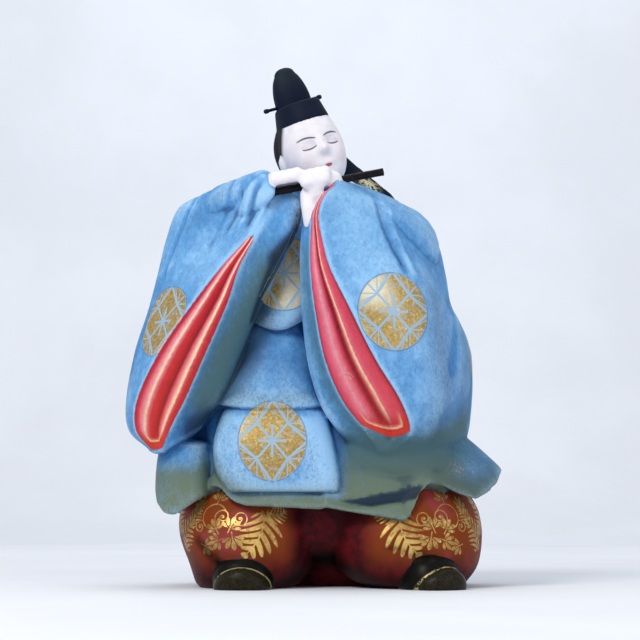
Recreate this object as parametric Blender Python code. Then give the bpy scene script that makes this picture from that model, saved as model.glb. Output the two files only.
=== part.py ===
"""A painted clay doll of a court musician who plays a side-blown flute.

The figure is one hollow-cast clay piece, modelled solid. The flute and the pin of the cap are separate rods.
Tables are in millimetres, +Z up, the front of the figure towards -Y. Left and right are the viewer's.
The origin is on the underside, between the feet.
"""

import math

import bmesh
import bpy
import numpy as np
from mathutils import Matrix, Vector

MM = 0.001

# Driving dimensions, in millimetres. The figure stands 276 high.
FLUTE_RADIUS = 2.0
FLUTE_ENDS = ((-31.0, -62.0, 199.4), (32.0, -56.0, 212.3))
PIN_RADIUS = 1.1
FIT_GAP = 0.3
HEAD_CENTRE = (-5.2, -21.0, 232.5)
HEAD_ROLL = -19.0
HEAD_TURN = 16.0
HEAD_NOD = 4.0

# How finely the shapes are cut.
OVAL_SIDES = 32
HEAD_SIDES = 30
RAIL_LEVELS = 22
CLOTH_STEPS = 5
TUBE_SIDES = 10

MOST_TRIANGLES = 9400
SMOOTH_ANGLE = math.radians(50)

# Colours: base colour, roughness, metallic.
FINISHES = {
    "robe_blue": ((0.16, 0.42, 0.72, 1), 0.55, 0.0),
    "trousers_wine": ((0.28, 0.03, 0.03, 1), 0.5, 0.0),
    "skin_white": ((0.86, 0.80, 0.78, 1), 0.5, 0.0),
    "lacquer_black": ((0.01, 0.012, 0.02, 1), 0.35, 0.0),
    "flute_black": ((0.02, 0.012, 0.01, 1), 0.4, 0.0),
}

# Oval sections: height, left, right, front, back, squareness (2 is an ellipse, more is boxier).
TORSO = (
    (66, -69, 62, -42, 44, 2.6),
    (80, -70, 62, -42, 45, 2.5),
    (98, -67, 60, -40, 44, 2.4),
    (122, -66, 62, -36, 43, 2.3),
    (145, -74, 64, -33, 43, 2.2),
    (165, -78, 66, -31, 42, 2.2),
    (182, -76, 62, -28, 39, 2.2),
    (194, -72, 54, -24, 34, 2.1),
    (203, -62, 42, -18, 28, 2.0),
    (208, -44, 30, -14, 20, 2.0),
)
APRON = (
    (49, -47, 12.5, -60, -20, 4.4),
    (51, -49, 14.0, -61, -20, 4.2),
    (60, -53.5, 13.5, -61.5, -20, 3.8),
    (74, -54.5, 10.5, -60, -20, 3.4),
    (88, -51, 6, -54.5, -20, 3.2),
    (98, -46, 0, -46, -20, 2.8),
)
BELLY = (
    (90.5, -54, 6, -54, -15, 2.8),
    (92, -55, 7, -55, -15, 2.8),
    (97, -54, 5.5, -55, -15, 2.7),
    (108, -51, 1.5, -52, -15, 2.6),
    (122, -46, -4, -47, -15, 2.5),
    (132, -42, -8, -43, -15, 2.4),
    (142, -38, -8, -36, -15, 2.4),
)
CHEST = (
    (131.5, -38, -6, -46, -10, 2.4),
    (133, -41, -4, -48.5, -10, 2.3),
    (139, -43, -1, -49.5, -10, 2.3),
    (150, -42, 2, -46.5, -10, 2.3),
    (170, -38, 8, -38, -10, 2.2),
    (190, -32, 12, -28, 0, 2.0),
)
COLLAR = (
    (200, -15, 22, -24, 19, 2.2),
    (208, -13, 19, -23, 15, 2.2),
    (214, -12, 16, -23, 12, 2.2),
)
LEG_LEFT = (
    (0, -63, -14, -48, 36, 2.6),
    (3, -65.5, -9, -52, 40, 2.5),
    (12, -68.5, -2, -57, 43, 2.4),
    (26, -73.5, 1, -58, 44, 2.4),
    (38, -74, 1, -54, 43, 2.4),
    (46, -70.5, 0, -49, 41, 2.4),
    (53, -64, -2, -44, 36, 2.4),
    (58, -52, -8, -36, 28, 2.4),
)
LEG_RIGHT = (
    (0, 30, 73, -48, 36, 2.6),
    (3, 17, 77, -53, 40, 2.5),
    (12, 6, 83, -58, 43, 2.4),
    (26, 0, 85.2, -58, 44, 2.4),
    (38, 0, 84, -54, 43, 2.4),
    (46, 0, 80.5, -49, 41, 2.4),
    (53, 2, 76, -44, 36, 2.4),
    (58, 8, 62, -36, 28, 2.4),
)
LEG_WEB = (
    (0, -34, 44, -14, 34, 3.0),
    (40, -34, 44, -14, 36, 3.0),
)
# The parts of the robe with an uneven lower edge: their section there and the one at the top, the height of the edge
# by x before and behind, and for each share of the way up how far the cloth swells.
SKIRT = ((-62.0, 68.0, -60.0, 47.0, 3.8), (92, -62, 62, -41, 45, 2.5))
SKIRT_FRONT = (
    (-62, 42), (-59, 47), (-55, 52), (-51, 51), (-47, 46.5), (-43, 43.5), (-38, 42), (-18, 41), (0, 40), (3, 41),
    (20, 38), (33, 36), (43.5, 34.2), (46, 37), (50, 45), (56.5, 53.5), (62, 51), (68, 46),
)
SKIRT_BACK = ((-62, 42), (-45, 43), (-20, 40), (0, 42), (20, 40), (48, 43), (68, 46))
SKIRT_LEVELS = ((0, 0), (0.04, 0.6), (0.13, 0.3), (0.19, -1.8), (0.4, -0.8), (0.7, 0), (1, 0))
SKIRT_FOLDS = (
    (((14, -60, 44.5), (30, -59, 45.5), (42, -57, 47.5), (50, -54, 50)), 3.4, 4.0),
)
FLAP_LEFT = ((-85.5, -54, -52, 32, 3.2), (73, -84, -55, -44, 26, 2.8))
FLAP_LEFT_EDGE = ((-85.5, 50), (-83.5, 43), (-79, 38), (-74, 37), (-66, 42), (-60, 46), (-54, 50))
FLAP_RIGHT = ((40, 96, -50, 32, 2.3), (84, 40, 71, -26, 24, 2.2))
FLAP_RIGHT_EDGE = ((40, 56), (57, 54.5), (62, 52), (70, 48), (80, 45), (87, 49), (92, 54), (96, 61))
FLAP_LEVELS = ((0, 0), (0.12, 0.8), (0.45, 1.2), (0.75, 0.9), (1, 0))
HEMMED_SIDES = 32

# The rails of the two hanging sleeves, from the bottom up: x, y, height.
# "outer" and "inner" are the two edges of the sleeve's mouth, where the lining shows.
SLEEVE_LEFT = {
    "outer": ((-86, -46, 70), (-94, -50, 80), (-93, -54, 96), (-81, -60, 120), (-64, -64, 144),
              (-50, -65, 162), (-36, -65, 178), (-28, -63, 194), (-24.5, -60, 206), (-24, -56, 211)),
    "side": ((-88, -28, 72), (-98, -28, 81), (-100, -27, 97), (-97, -24, 122), (-90, -24, 146),
             (-85, -24, 166), (-81, -22, 182), (-75, -20, 199), (-66, -22, 205), (-56, -30, 208)),
    "back": ((-72, 8, 76), (-76, 14, 84), (-76, 18, 98), (-74, 20, 122), (-70, 22, 146),
             (-68, 22, 166), (-66, 18, 182), (-62, 8, 195), (-56, -2, 202), (-48, -14, 205)),
    "inside": ((-60, -42, 84), (-54, -42, 91), (-48, -43, 99), (-39, -45, 123), (-30, -47, 145),
               (-21, -49, 163), (-14, -50, 178), (-10.5, -52, 191), (-12, -51, 199), (-20, -46, 203)),
    "inner": ((-80, -52, 71), (-76, -57, 81), (-68, -61, 96), (-57, -67, 120), (-47, -69, 143),
              (-41, -68, 161), (-33, -66, 177), (-26, -62, 190), (-22.5, -58, 201), (-23, -54, 207)),
}
SLEEVE_RIGHT = {
    "outer": ((38, -60, 70), (45, -68, 79), (40, -74, 94), (27, -77, 115), (14, -77, 141),
              (5, -74, 160), (1, -71, 175), (-1, -69, 189), (2, -68.5, 199), (8.5, -64.5, 206.5)),
    "front": ((55, -46, 66), (60, -50, 78), (62, -54, 94), (61, -56, 115), (56, -57, 140),
              (50, -56, 160), (43, -53, 176), (37, -50, 189), (31, -48, 199), (25, -45, 204.5)),
    "side": ((70, -10, 66), (78, -6, 78), (81, 0, 92), (82, 0, 110), (80.5, 0, 128),
             (71, -2, 149), (68, -2, 165), (64, -3, 182), (56, -6, 197), (44, -10, 203)),
    "back": ((52, 18, 70), (60, 24, 82), (64, 28, 96), (65, 30, 115), (62, 28, 133),
             (56, 24, 152), (52, 18, 168), (46, 10, 184), (38, 0, 197), (30, -8, 203)),
    "inside": ((14, -44, 74), (6, -46, 83), (0, -46, 94), (-6, -47, 115), (-9, -48, 141),
               (-10, -49, 160), (-10, -50, 175), (-8, -51, 188), (-1, -50, 197), (12, -43, 204)),
    "inner": ((30, -60, 69), (23, -66, 79), (11, -70, 94), (2, -73, 115), (-3, -73, 141),
              (-5, -71, 160), (-5, -68, 175), (-4, -66, 189), (0, -63, 198), (7, -56, 205.5)),
}
# Across the lining, from the outer edge to the inner one: place, and depth as a share of the deepest.
LINING_LEFT = ((0, 0), (0.06, 0.6), (0.27, 0.15), (0.56, 1.0), (0.78, 0.15), (0.94, 0.6), (1, 0))
LINING_RIGHT = ((0, 0), (0.06, 0.6), (0.38, 0.15), (0.5, 1.0), (0.6, 0.6), (0.8, 0.35), (1, 0))
LINING_DEPTH = 4.0
LINING_DEPTH_SHARE = 0.24

# Arms inside the sleeves: x, y, height, half width, half height.
ARM_LEFT = (
    (-40, 8, 184, 17, 18),
    (-54, -6, 187, 17, 18),
    (-54, -22, 192, 14, 16),
    (-43, -39, 200, 11, 12),
    (-30, -52, 206, 7, 9),
)
ARM_RIGHT = (
    (36, 6, 180, 20, 20),
    (47, -8, 178, 20, 21),
    (44, -26, 178, 17, 22),
    (28, -40, 188, 14, 17),
    (12, -51, 198, 8, 10),
)
NECK = (
    (3, -6, 203, 12, 12),
    (1, -12, 212, 10.5, 10.5),
    (-1, -18, 222, 9.5, 10),
)

# The head, in its own frame: x to the right, y back, z up from its centre.
# Sections: height, half width, front, back, squareness.
HEAD = (
    (-23.5, 5.5, -15.5, -5, 2.2),
    (-21, 9, -18, -1, 2.2),
    (-16, 13, -19, 7, 2.2),
    (-9, 16, -19, 14, 2.15),
    (-1, 17, -18.4, 18, 2.1),
    (6, 15.9, -17.8, 18.5, 2.1),
    (12, 13.9, -16.6, 17, 2.1),
    (18, 11.5, -13, 14, 2.1),
)
CAP_BAND = (
    (12.2, 13.8, -17, 18.5, 2.2),
    (13.6, 13.7, -16.9, 18.3, 2.2),
    (18, 12.8, -15.4, 17, 2.2),
    (22.3, 11.9, -14, 15.5, 2.2),
    (23.2, 11.3, -13.4, 14.8, 2.2),
)
CAP_DOME = (
    (21, 10.0, -4, 13, 2.15),
    (28, 9.8, -3.8, 12.8, 2.15),
    (33, 9.1, -3.0, 12.2, 2.15),
    (38, 7.6, -1.5, 10.8, 2.1),
    (41.5, 5.6, -0.3, 9.4, 2.05),
)
PIN_PLACE = (0.0, 4.5, 24.9)
PIN_REACH = (-17.4, 16.4)
HAIR = (
    (-12, 14.0, 1, 16.6, 2.1),
    (-8, 16.6, -3, 18.2, 2.1),
    (0, 17.6, -7.0, 19.4, 2.1),
    (7, 16.4, -9.0, 19.6, 2.1),
    (13, 13.6, -9.5, 17.6, 2.1),
)
EARS = ((-16.4, 2.5, -6.5), (16.4, 2.5, -6.5))
EAR_SIZE = (2.4, 3.6, 5.6)
# Raised and sunk forms of the face: x, height, spread across, spread up, rise.
FACE = (
    (0, -1.5, 2.6, 5.5, 2.2),
    (0, -5.5, 2.9, 2.4, 2.6),
    (0, -12.8, 4.2, 1.7, 0.9),
    (0, -19.5, 4.5, 3.0, 0.9),
    (-6.8, 0.5, 3.8, 2.2, -0.9),
    (6.8, 0.5, 3.8, 2.2, -0.9),
    (-8.5, -9, 5.0, 5.0, 0.7),
    (8.5, -9, 5.0, 5.0, 0.7),
)

# The ribbon that hangs from the cap: x, y, height, half width, half thickness.
RIBBON = (
    (-8, -4, 243, 1.6, 4.5),
    (-1, 0, 238, 1.6, 5.4),
    (7, 1, 231, 1.6, 5.8),
    (15, 0, 224, 1.7, 5.4),
    (24, -1, 217.4, 1.8, 4.4),
    (31, 1, 212, 1.8, 4.2),
    (37.5, 5, 207, 1.8, 4.4),
    (42, 13, 200, 1.8, 4.6),
)

# Hands: paths of x, y, height, half width, half height.
PALM_LEFT = ((-29, -52, 206, 4.5, 5), (-20, -55, 208, 5.5, 4.6), (-11, -56, 209.5, 5, 4.2))
FINGERS_LEFT = (-23.2, -19.4, -15.6, -12.0)
FINGER_LEFT = ((-54, 6.8), (-60.0, 8.0), (-64.8, 6.8), (-66.0, 4.9))
PALM_RIGHT = (
    (5, -47, 170, 4.0, 4.0),
    (-0.5, -54, 182, 5.0, 4.0),
    (-3.0, -59, 193, 4.8, 4.0),
    (-3.6, -62.5, 201, 5.4, 4.0),
    (-2.6, -64, 207, 7.0, 4.2),
    (-1.4, -60, 210.5, 7.4, 3.2),
)
FINGERS_RIGHT = (-7.8, -4.2, -0.6, 3.0)
FINGER_RIGHT = ((-67.0, 0.5), (-65.4, 4.4), (-60.0, 5.6), (-54.0, 3.6))
FINGER_HALF = 2.5

# Shoes: centre x, y, half width, length out of the leg, height, turn outwards in degrees.
SHOES = {
    "shoe_left": (-38.8, -50.0, 15.4, 17.0, 18.0, -3.0),
    "shoe_right": (56.5, -50.0, 15.4, 18.0, 18.5, 30.0),
}

# Pressed folds: points, spread and depth, all in millimetres.
FOLDS_SLEEVE_LEFT = (
    (((-52, -18, 210), (-60, -20, 200), (-66, -24, 190), (-72, -26, 175), (-76, -28, 160)), 3.5, 2.2),
    (((-28, -60, 214), (-34, -58, 200), (-38, -60, 188), (-42, -62, 178)), 2.2, 1.2),
    (((-33, -52, 215), (-41, -52, 200), (-47, -54, 188)), 2.2, 1.0),
)
FOLDS_SLEEVE_RIGHT = (
    (((28, -22, 206), (33, -32, 196), (38, -42, 180), (44, -48, 163)), 3.0, 2.2),
    (((72, -8, 151), (66, -26, 146), (60, -36, 138)), 4.5, 2.2),
)
FOLDS_LEG_LEFT = ((((-64, -50, 26), (-58, -54, 20), (-52, -56, 14)), 3.5, 3.2),)
FOLDS_LEG_RIGHT = ((((36, -58, 21), (46, -58, 18), (54, -57, 15)), 3.5, 3.0),)
FOLDS_TORSO = (
    (((2, 28, 200), (0, 42, 170), (-1, 44, 130), (-1, 45, 95)), 6.5, 2.6),
    (((-36, 28, 198), (-28, 40, 160), (-25, 43, 115)), 6.5, 2.4),
    (((34, 26, 196), (28, 40, 160), (24, 43, 115)), 6.5, 2.4),
)


def curve_through(points, count):
    """Evenly counted points on a smooth curve through the given ones, whatever they hold."""
    p = np.asarray(points, float)
    ends = np.vstack([2 * p[0] - p[1], p, 2 * p[-1] - p[-2]])
    t = np.linspace(0, len(p) - 1, count)
    i = np.minimum(t.astype(int), len(p) - 2)
    f = (t - i)[:, None]
    a, b, c, d = ends[i], ends[i + 1], ends[i + 2], ends[i + 3]
    return (2 * b + (c - a) * f + (2 * a - 5 * b + 4 * c - d) * f**2 + (3 * b - a - 3 * c + d) * f**3) / 2


def superellipse(squareness, sides):
    """Points round a superellipse of half size 1, with x to the right and y back."""
    turn = np.linspace(0, 2 * math.pi, sides, endpoint=False)
    power = 2 / squareness
    x = np.sign(np.cos(turn)) * np.abs(np.cos(turn)) ** power
    y = np.sign(np.sin(turn)) * np.abs(np.sin(turn)) ** power
    return x, y


def oval(row, sides):
    """One level ring between the left, right, front and back of the row."""
    height, left, right, front, back, squareness = row
    x, y = superellipse(squareness, sides)
    ring = np.empty((sides, 3))
    ring[:, 0] = (left + right) / 2 + x * (right - left) / 2
    ring[:, 1] = (front + back) / 2 + y * (back - front) / 2
    ring[:, 2] = height
    return ring


def shrunk_ends(rings, below, above):
    """The rings with a rounded close added at each end that has a rise."""
    rings = list(rings)
    for rise, at_top in ((below, False), (above, True)):
        if not rise:
            continue
        last = rings[-1] if at_top else rings[0]
        centre = last.mean(axis=0)
        for degrees in (32, 60, 82):
            a = math.radians(degrees)
            ring = centre + (last - centre) * math.cos(a)
            ring[:, 2] += math.sin(a) * rise * (1 if at_top else -1)
            if at_top:
                rings.append(ring)
            else:
                rings.insert(0, ring)
    return rings


def distance_to_path(points, path):
    """How far each point is from a path of straight lengths."""
    nearest = np.full(len(points), 1e9)
    for a, b in zip(path, path[1:]):
        run = b - a
        share = np.clip((points - a) @ run / (run @ run), 0, 1)
        nearest = np.minimum(nearest, np.linalg.norm(points - a - np.outer(share, run), axis=1))
    return nearest


def folded(rings, folds):
    """The rings with folds pressed in towards the middle of each ring, fading at the ends of a fold."""
    done = []
    for ring in rings:
        middle = ring.mean(axis=0)
        inward = middle - ring
        inward[:, 2] = 0
        room = np.linalg.norm(inward, axis=1)
        inward /= np.maximum(room, 1e-6)[:, None]
        pressed = np.zeros(len(ring))
        for path, spread, depth in folds:
            away = distance_to_path(ring, np.asarray(path, float))
            pressed = np.maximum(pressed, depth * np.exp(-((away / spread) ** 2)))
        done.append(ring + inward * np.minimum(pressed, room * 0.25)[:, None])
    return done


def material(name):
    """The named finish, made once."""
    found = bpy.data.materials.get(name)
    if found:
        return found
    colour, roughness, metallic = FINISHES[name]
    made = bpy.data.materials.new(name)
    made.use_nodes = True
    made.diffuse_color = colour
    shader = made.node_tree.nodes["Principled BSDF"]
    shader.inputs["Base Color"].default_value = colour
    shader.inputs["Roughness"].default_value = roughness
    shader.inputs["Metallic"].default_value = metallic
    return made


def skin(name, rings, finish, place=None):
    """A closed shape over the rings, in millimetres, with each end closed by a fan."""
    mesh = bmesh.new()
    rows = [[mesh.verts.new(Vector(p) * MM) for p in ring] for ring in rings]
    for low, high in zip(rows, rows[1:]):
        for i, here in enumerate(low):
            j = (i + 1) % len(low)
            mesh.faces.new((here, low[j], high[j], high[i]))
    for row, ring in ((rows[0], rings[0]), (rows[-1], rings[-1])):
        middle = mesh.verts.new(Vector(np.mean(ring, axis=0)) * MM)
        for i, here in enumerate(row):
            mesh.faces.new((here, row[(i + 1) % len(row)], middle))
    if place:
        mesh.transform(place)
    bmesh.ops.recalc_face_normals(mesh, faces=mesh.faces)
    data = bpy.data.meshes.new(name)
    mesh.to_mesh(data)
    mesh.free()
    data.materials.append(material(finish))
    data.shade_smooth()
    made = bpy.data.objects.new(name, data)
    bpy.context.scene.collection.objects.link(made)
    return made


def ovals(name, table, levels, finish, below=0.0, above=0.0, sides=OVAL_SIDES, folds=(), bend=0.0):
    """A shape over a table of oval sections. A bend lifts the two sides of the lower sections."""
    rings = [oval(row, sides) for row in curve_through(table, levels)]
    for number, ring in enumerate(rings):
        across = ring[:, 0] - ring[:, 0].mean()
        ring[:, 2] += bend * (across / across.max()) ** 2 * (1 - number / (levels - 1))
    return skin(name, folded(shrunk_ends(rings, below, above), folds), finish)


def head_ovals(name, table, levels, finish, below=0.0, above=0.0, bumps=()):
    """A shape over sections of the head, with bumps raised on its face."""
    rows = [(z, -half, half, front, back, square) for z, half, front, back, square in table]
    rings = shrunk_ends([oval(row, HEAD_SIDES) for row in curve_through(rows, levels)], below, above)
    for ring in rings:
        facing = np.clip(-ring[:, 1] / 8, 0, 1)
        for x, z, across, up, rise in bumps:
            near = np.exp(-(((ring[:, 0] - x) / across) ** 2) - ((ring[:, 2] - z) / up) ** 2)
            ring[:, 1] -= rise * near * facing
    return skin(name, rings, finish, head_place())


def head_place():
    """The turn and tilt of the head, as a matrix in metres."""
    turn = Matrix.Rotation(math.radians(HEAD_ROLL), 4, "Y")
    turn = turn @ Matrix.Rotation(math.radians(HEAD_TURN), 4, "Z")
    turn = turn @ Matrix.Rotation(math.radians(HEAD_NOD), 4, "X")
    return Matrix.Translation(Vector(HEAD_CENTRE) * MM) @ turn


def tube(name, table, levels, finish, sides=TUBE_SIDES, rounded=True):
    """A limb along a path of x, y, height, half width and half height."""
    rows = curve_through(table, levels)
    path, half = rows[:, :3], rows[:, 3:5]
    along = np.gradient(path, axis=0)
    along /= np.linalg.norm(along, axis=1)[:, None]
    stations = list(zip(path, along, half))
    if rounded:
        for turned in (0.5, 0.88, 0.99):
            rest = math.sqrt(1 - turned * turned)
            reach = min(half[0]) * turned
            stations.insert(0, (path[0] - along[0] * reach, along[0], half[0] * rest))
            reach = min(half[-1]) * turned
            stations.append((path[-1] + along[-1] * reach, along[-1], half[-1] * rest))
    turn = np.linspace(0, 2 * math.pi, sides, endpoint=False)
    across = np.cross(along[0], (0, 0, 1))
    if np.linalg.norm(across) < 0.3:
        across = np.array((1.0, 0, 0))
    rings = []
    for centre, direction, (wide, high) in stations:
        across = across - direction * (across @ direction)
        across /= np.linalg.norm(across)
        up = np.cross(across, direction)
        rings.append(centre + np.outer(np.cos(turn) * wide, across) + np.outer(np.sin(turn) * high, up))
    return skin(name, rings, finish)


def rod(name, ends, radius, finish, sides=20):
    """A straight round rod between two points."""
    a, b = (np.asarray(end, float) for end in ends)
    rows = [(*point, radius, radius) for point in (a, (a + b) / 2, b)]
    return tube(name, rows, 3, finish, sides=sides, rounded=False)


def ball(name, centre, half, finish, place=None, sides=12):
    """An egg shape of the given half sizes."""
    rings = []
    for degrees in np.linspace(-80, 80, 7):
        a = math.radians(degrees)
        row = (centre[2] + half[2] * math.sin(a), -half[0] * math.cos(a), half[0] * math.cos(a),
               -half[1] * math.cos(a), half[1] * math.cos(a), 2)
        ring = oval(row, sides)
        ring[:, :2] += centre[:2]
        rings.append(ring)
    return skin(name, rings, finish, place)


def lining(outer, inner, profile, depth):
    """Points from the inner edge of a sleeve's mouth to the outer one, over the folds of the lining."""
    outward = np.cross(outer - inner, (0, 0, 1))
    outward /= max(np.linalg.norm(outward), 1e-6)
    if outward[1] > 0:
        outward = -outward
    place, sunk = np.array(profile[1:-1], float).T
    sunk = sunk * depth
    return (outer + np.outer(place, inner - outer) - np.outer(sunk, outward))[::-1]


def sleeve(name, rails, profile, folds, below, above):
    """A hanging sleeve: a bag skinned over its rails, with the mouth's lining sunk between two of them."""
    order = [rail for rail in ("outer", "front", "side", "back", "inside", "inner") if rail in rails]
    levels = [curve_through(rails[rail], RAIL_LEVELS) for rail in order]
    rings = []
    for number, corners in enumerate(zip(*levels)):
        cloth = curve_through(corners, CLOTH_STEPS * (len(order) - 1) + 1)
        mouth = np.linalg.norm(corners[0] - corners[-1])
        fade = min(1.0, number / 3, (RAIL_LEVELS - 1 - number) / 6)
        depth = min(LINING_DEPTH, mouth * LINING_DEPTH_SHARE) * math.sin(fade * math.pi / 2)
        rings.append(np.vstack([cloth, lining(corners[0], corners[-1], profile, depth)]))
    return skin(name, folded(shrunk_ends(rings, below, above), folds), "robe_blue")


def hemmed(name, low, high, before, behind, levels, above=0.0, folds=()):
    """A part of the robe whose lower edge rises and falls: its height is given by x, before and behind."""
    left, right, front, back, square = low
    middle, half = (left + right) / 2, (right - left) / 2
    x, y = superellipse(square, HEMMED_SIDES)
    around = list(zip(x, y))
    for table, side in ((before, -1), (behind, 1)):
        for key, _ in table:
            across = min(abs(key - middle) / half, 1)
            around.append((math.copysign(across, key - middle), side * (1 - across**square) ** (1 / square)))
    around.sort(key=lambda place: math.atan2(place[1], place[0]))
    spaced = [here for here, last in zip(around, around[-1:] + around) if math.dist(here, last) > 0.025]
    x, y = np.array(spaced).T
    edge = np.empty((len(x), 3))
    edge[:, 0] = middle + x * half
    edge[:, 1] = (front + back) / 2 + y * (back - front) / 2
    ahead = np.interp(edge[:, 0], *zip(*before))
    astern = np.interp(edge[:, 0], *zip(*behind))
    edge[:, 2] = np.where(y < 0, ahead, astern)
    height, left, right, front, back, square = high
    top = np.empty_like(edge)
    top[:, 0] = (left + right) / 2 + x * (right - left) / 2
    top[:, 1] = (front + back) / 2 + y * (back - front) / 2
    top[:, 2] = height
    rings = []
    for share, swell in levels:
        ring = edge + (top - edge) * share
        outward = ring - ring.mean(axis=0)
        outward[:, 2] = 0
        outward /= np.linalg.norm(outward, axis=1)[:, None]
        rings.append(ring + outward * swell)
    return skin(name, folded(shrunk_ends(rings, 0, above), folds), "robe_blue")


def shoe(name, x, y, half, reach, high, turn):
    """The toe of a shoe: a low dome, with a lower toe cap and its lip before it."""
    place = Matrix.Translation(Vector((x, y, 0)) * MM) @ Matrix.Rotation(math.radians(turn), 4, "Z")
    dome = (
        (0, -half, half, -reach * 0.72, 16, 2.3),
        (high * 0.35, -half, half, -reach * 0.72, 16, 2.3),
        (high * 0.7, -half * 0.86, half * 0.86, -reach * 0.6, 16, 2.3),
        (high * 0.92, -half * 0.55, half * 0.55, -reach * 0.35, 14, 2.2),
        (high, -half * 0.2, half * 0.2, -reach * 0.1, 10, 2.0),
    )
    toe = (
        (0, -half * 0.92, half * 0.92, -reach * 0.94, 8, 2.3),
        (high * 0.12, -half * 0.97, half * 0.97, -reach, 8, 2.3),
        (high * 0.4, -half * 0.93, half * 0.93, -reach * 0.98, 8, 2.3),
        (high * 0.55, -half * 0.72, half * 0.72, -reach * 0.86, 8, 2.3),
        (high * 0.6, -half * 0.5, half * 0.5, -reach * 0.7, 6, 2.3),
    )
    for part, table in (("dome", dome), ("toe", toe)):
        rings = [oval(row, 20) for row in curve_through(table, 7)]
        skin(f"{name}_{part}", rings, "lacquer_black", place)


def fingers(name, places, row, slope):
    """Four fingers bent over the flute."""
    bottom = np.asarray(FLUTE_ENDS[0], float)
    run = np.asarray(FLUTE_ENDS[1], float) - bottom
    for number, x in enumerate(places):
        level = bottom[2] + (x - bottom[0]) * run[2] / run[0]
        path = [(x + slope * step, y, level + rise, FINGER_HALF, FINGER_HALF) for step, (y, rise) in enumerate(row)]
        tube(f"{name}_{number}", path, 6, "skin_white", sides=8)


def head():
    head_ovals("head", HEAD, 16, "skin_white", below=1.5, above=5, bumps=FACE)
    head_ovals("hair", HAIR, 8, "lacquer_black")
    head_ovals("cap_band", CAP_BAND, 6, "lacquer_black")
    head_ovals("cap_dome", CAP_DOME, 8, "lacquer_black", above=3.5)
    for number, centre in enumerate(EARS):
        ball(f"ear_{number}", centre, EAR_SIZE, "skin_white", head_place())


def joined(name, pieces, finish):
    """One closed solid from pieces that overlap."""
    group = bpy.data.collections.new(f"{name}_parts")
    bpy.context.scene.collection.children.link(group)
    base = pieces[0]
    base.name = name
    for piece in pieces[1:]:
        bpy.context.scene.collection.objects.unlink(piece)
        group.objects.link(piece)
        piece.hide_render = True
        piece.display_type = "WIRE"
    union = base.modifiers.new("union", "BOOLEAN")
    union.operation = "UNION"
    union.solver = "EXACT"
    union.operand_type = "COLLECTION"
    union.collection = group
    union.material_mode = "TRANSFER"
    return base


def bored(body, name, ends, radius):
    """Cuts the clearance of a rod from a body."""
    cutter = rod(name, ends, radius + FIT_GAP, "skin_white")
    cutter.hide_render = True
    cutter.display_type = "WIRE"
    cut = body.modifiers.new(name, "BOOLEAN")
    cut.operation = "DIFFERENCE"
    cut.solver = "EXACT"
    cut.object = cutter
    cut.material_mode = "INDEX"


def triangle_count(body):
    evaluated = body.evaluated_get(bpy.context.evaluated_depsgraph_get())
    data = evaluated.to_mesh()
    data.calc_loop_triangles()
    count = len(data.loop_triangles)
    evaluated.to_mesh_clear()
    return count


def settled(body):
    """The body thinned to its most triangles, its modifiers made into its mesh and the helper shapes removed."""
    thinned = body.modifiers.new("thinned", "DECIMATE")
    thinned.ratio = MOST_TRIANGLES / triangle_count(body)
    graph = bpy.context.evaluated_depsgraph_get()
    data = bpy.data.meshes.new_from_object(body.evaluated_get(graph))
    body.modifiers.clear()
    body.data = data
    data.shade_smooth()
    data.set_sharp_from_angle(angle=SMOOTH_ANGLE)
    for helper in [thing for thing in bpy.data.objects if thing.hide_render]:
        bpy.data.objects.remove(helper)


def clear_scene():
    for old in list(bpy.data.objects):
        bpy.data.objects.remove(old)


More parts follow.
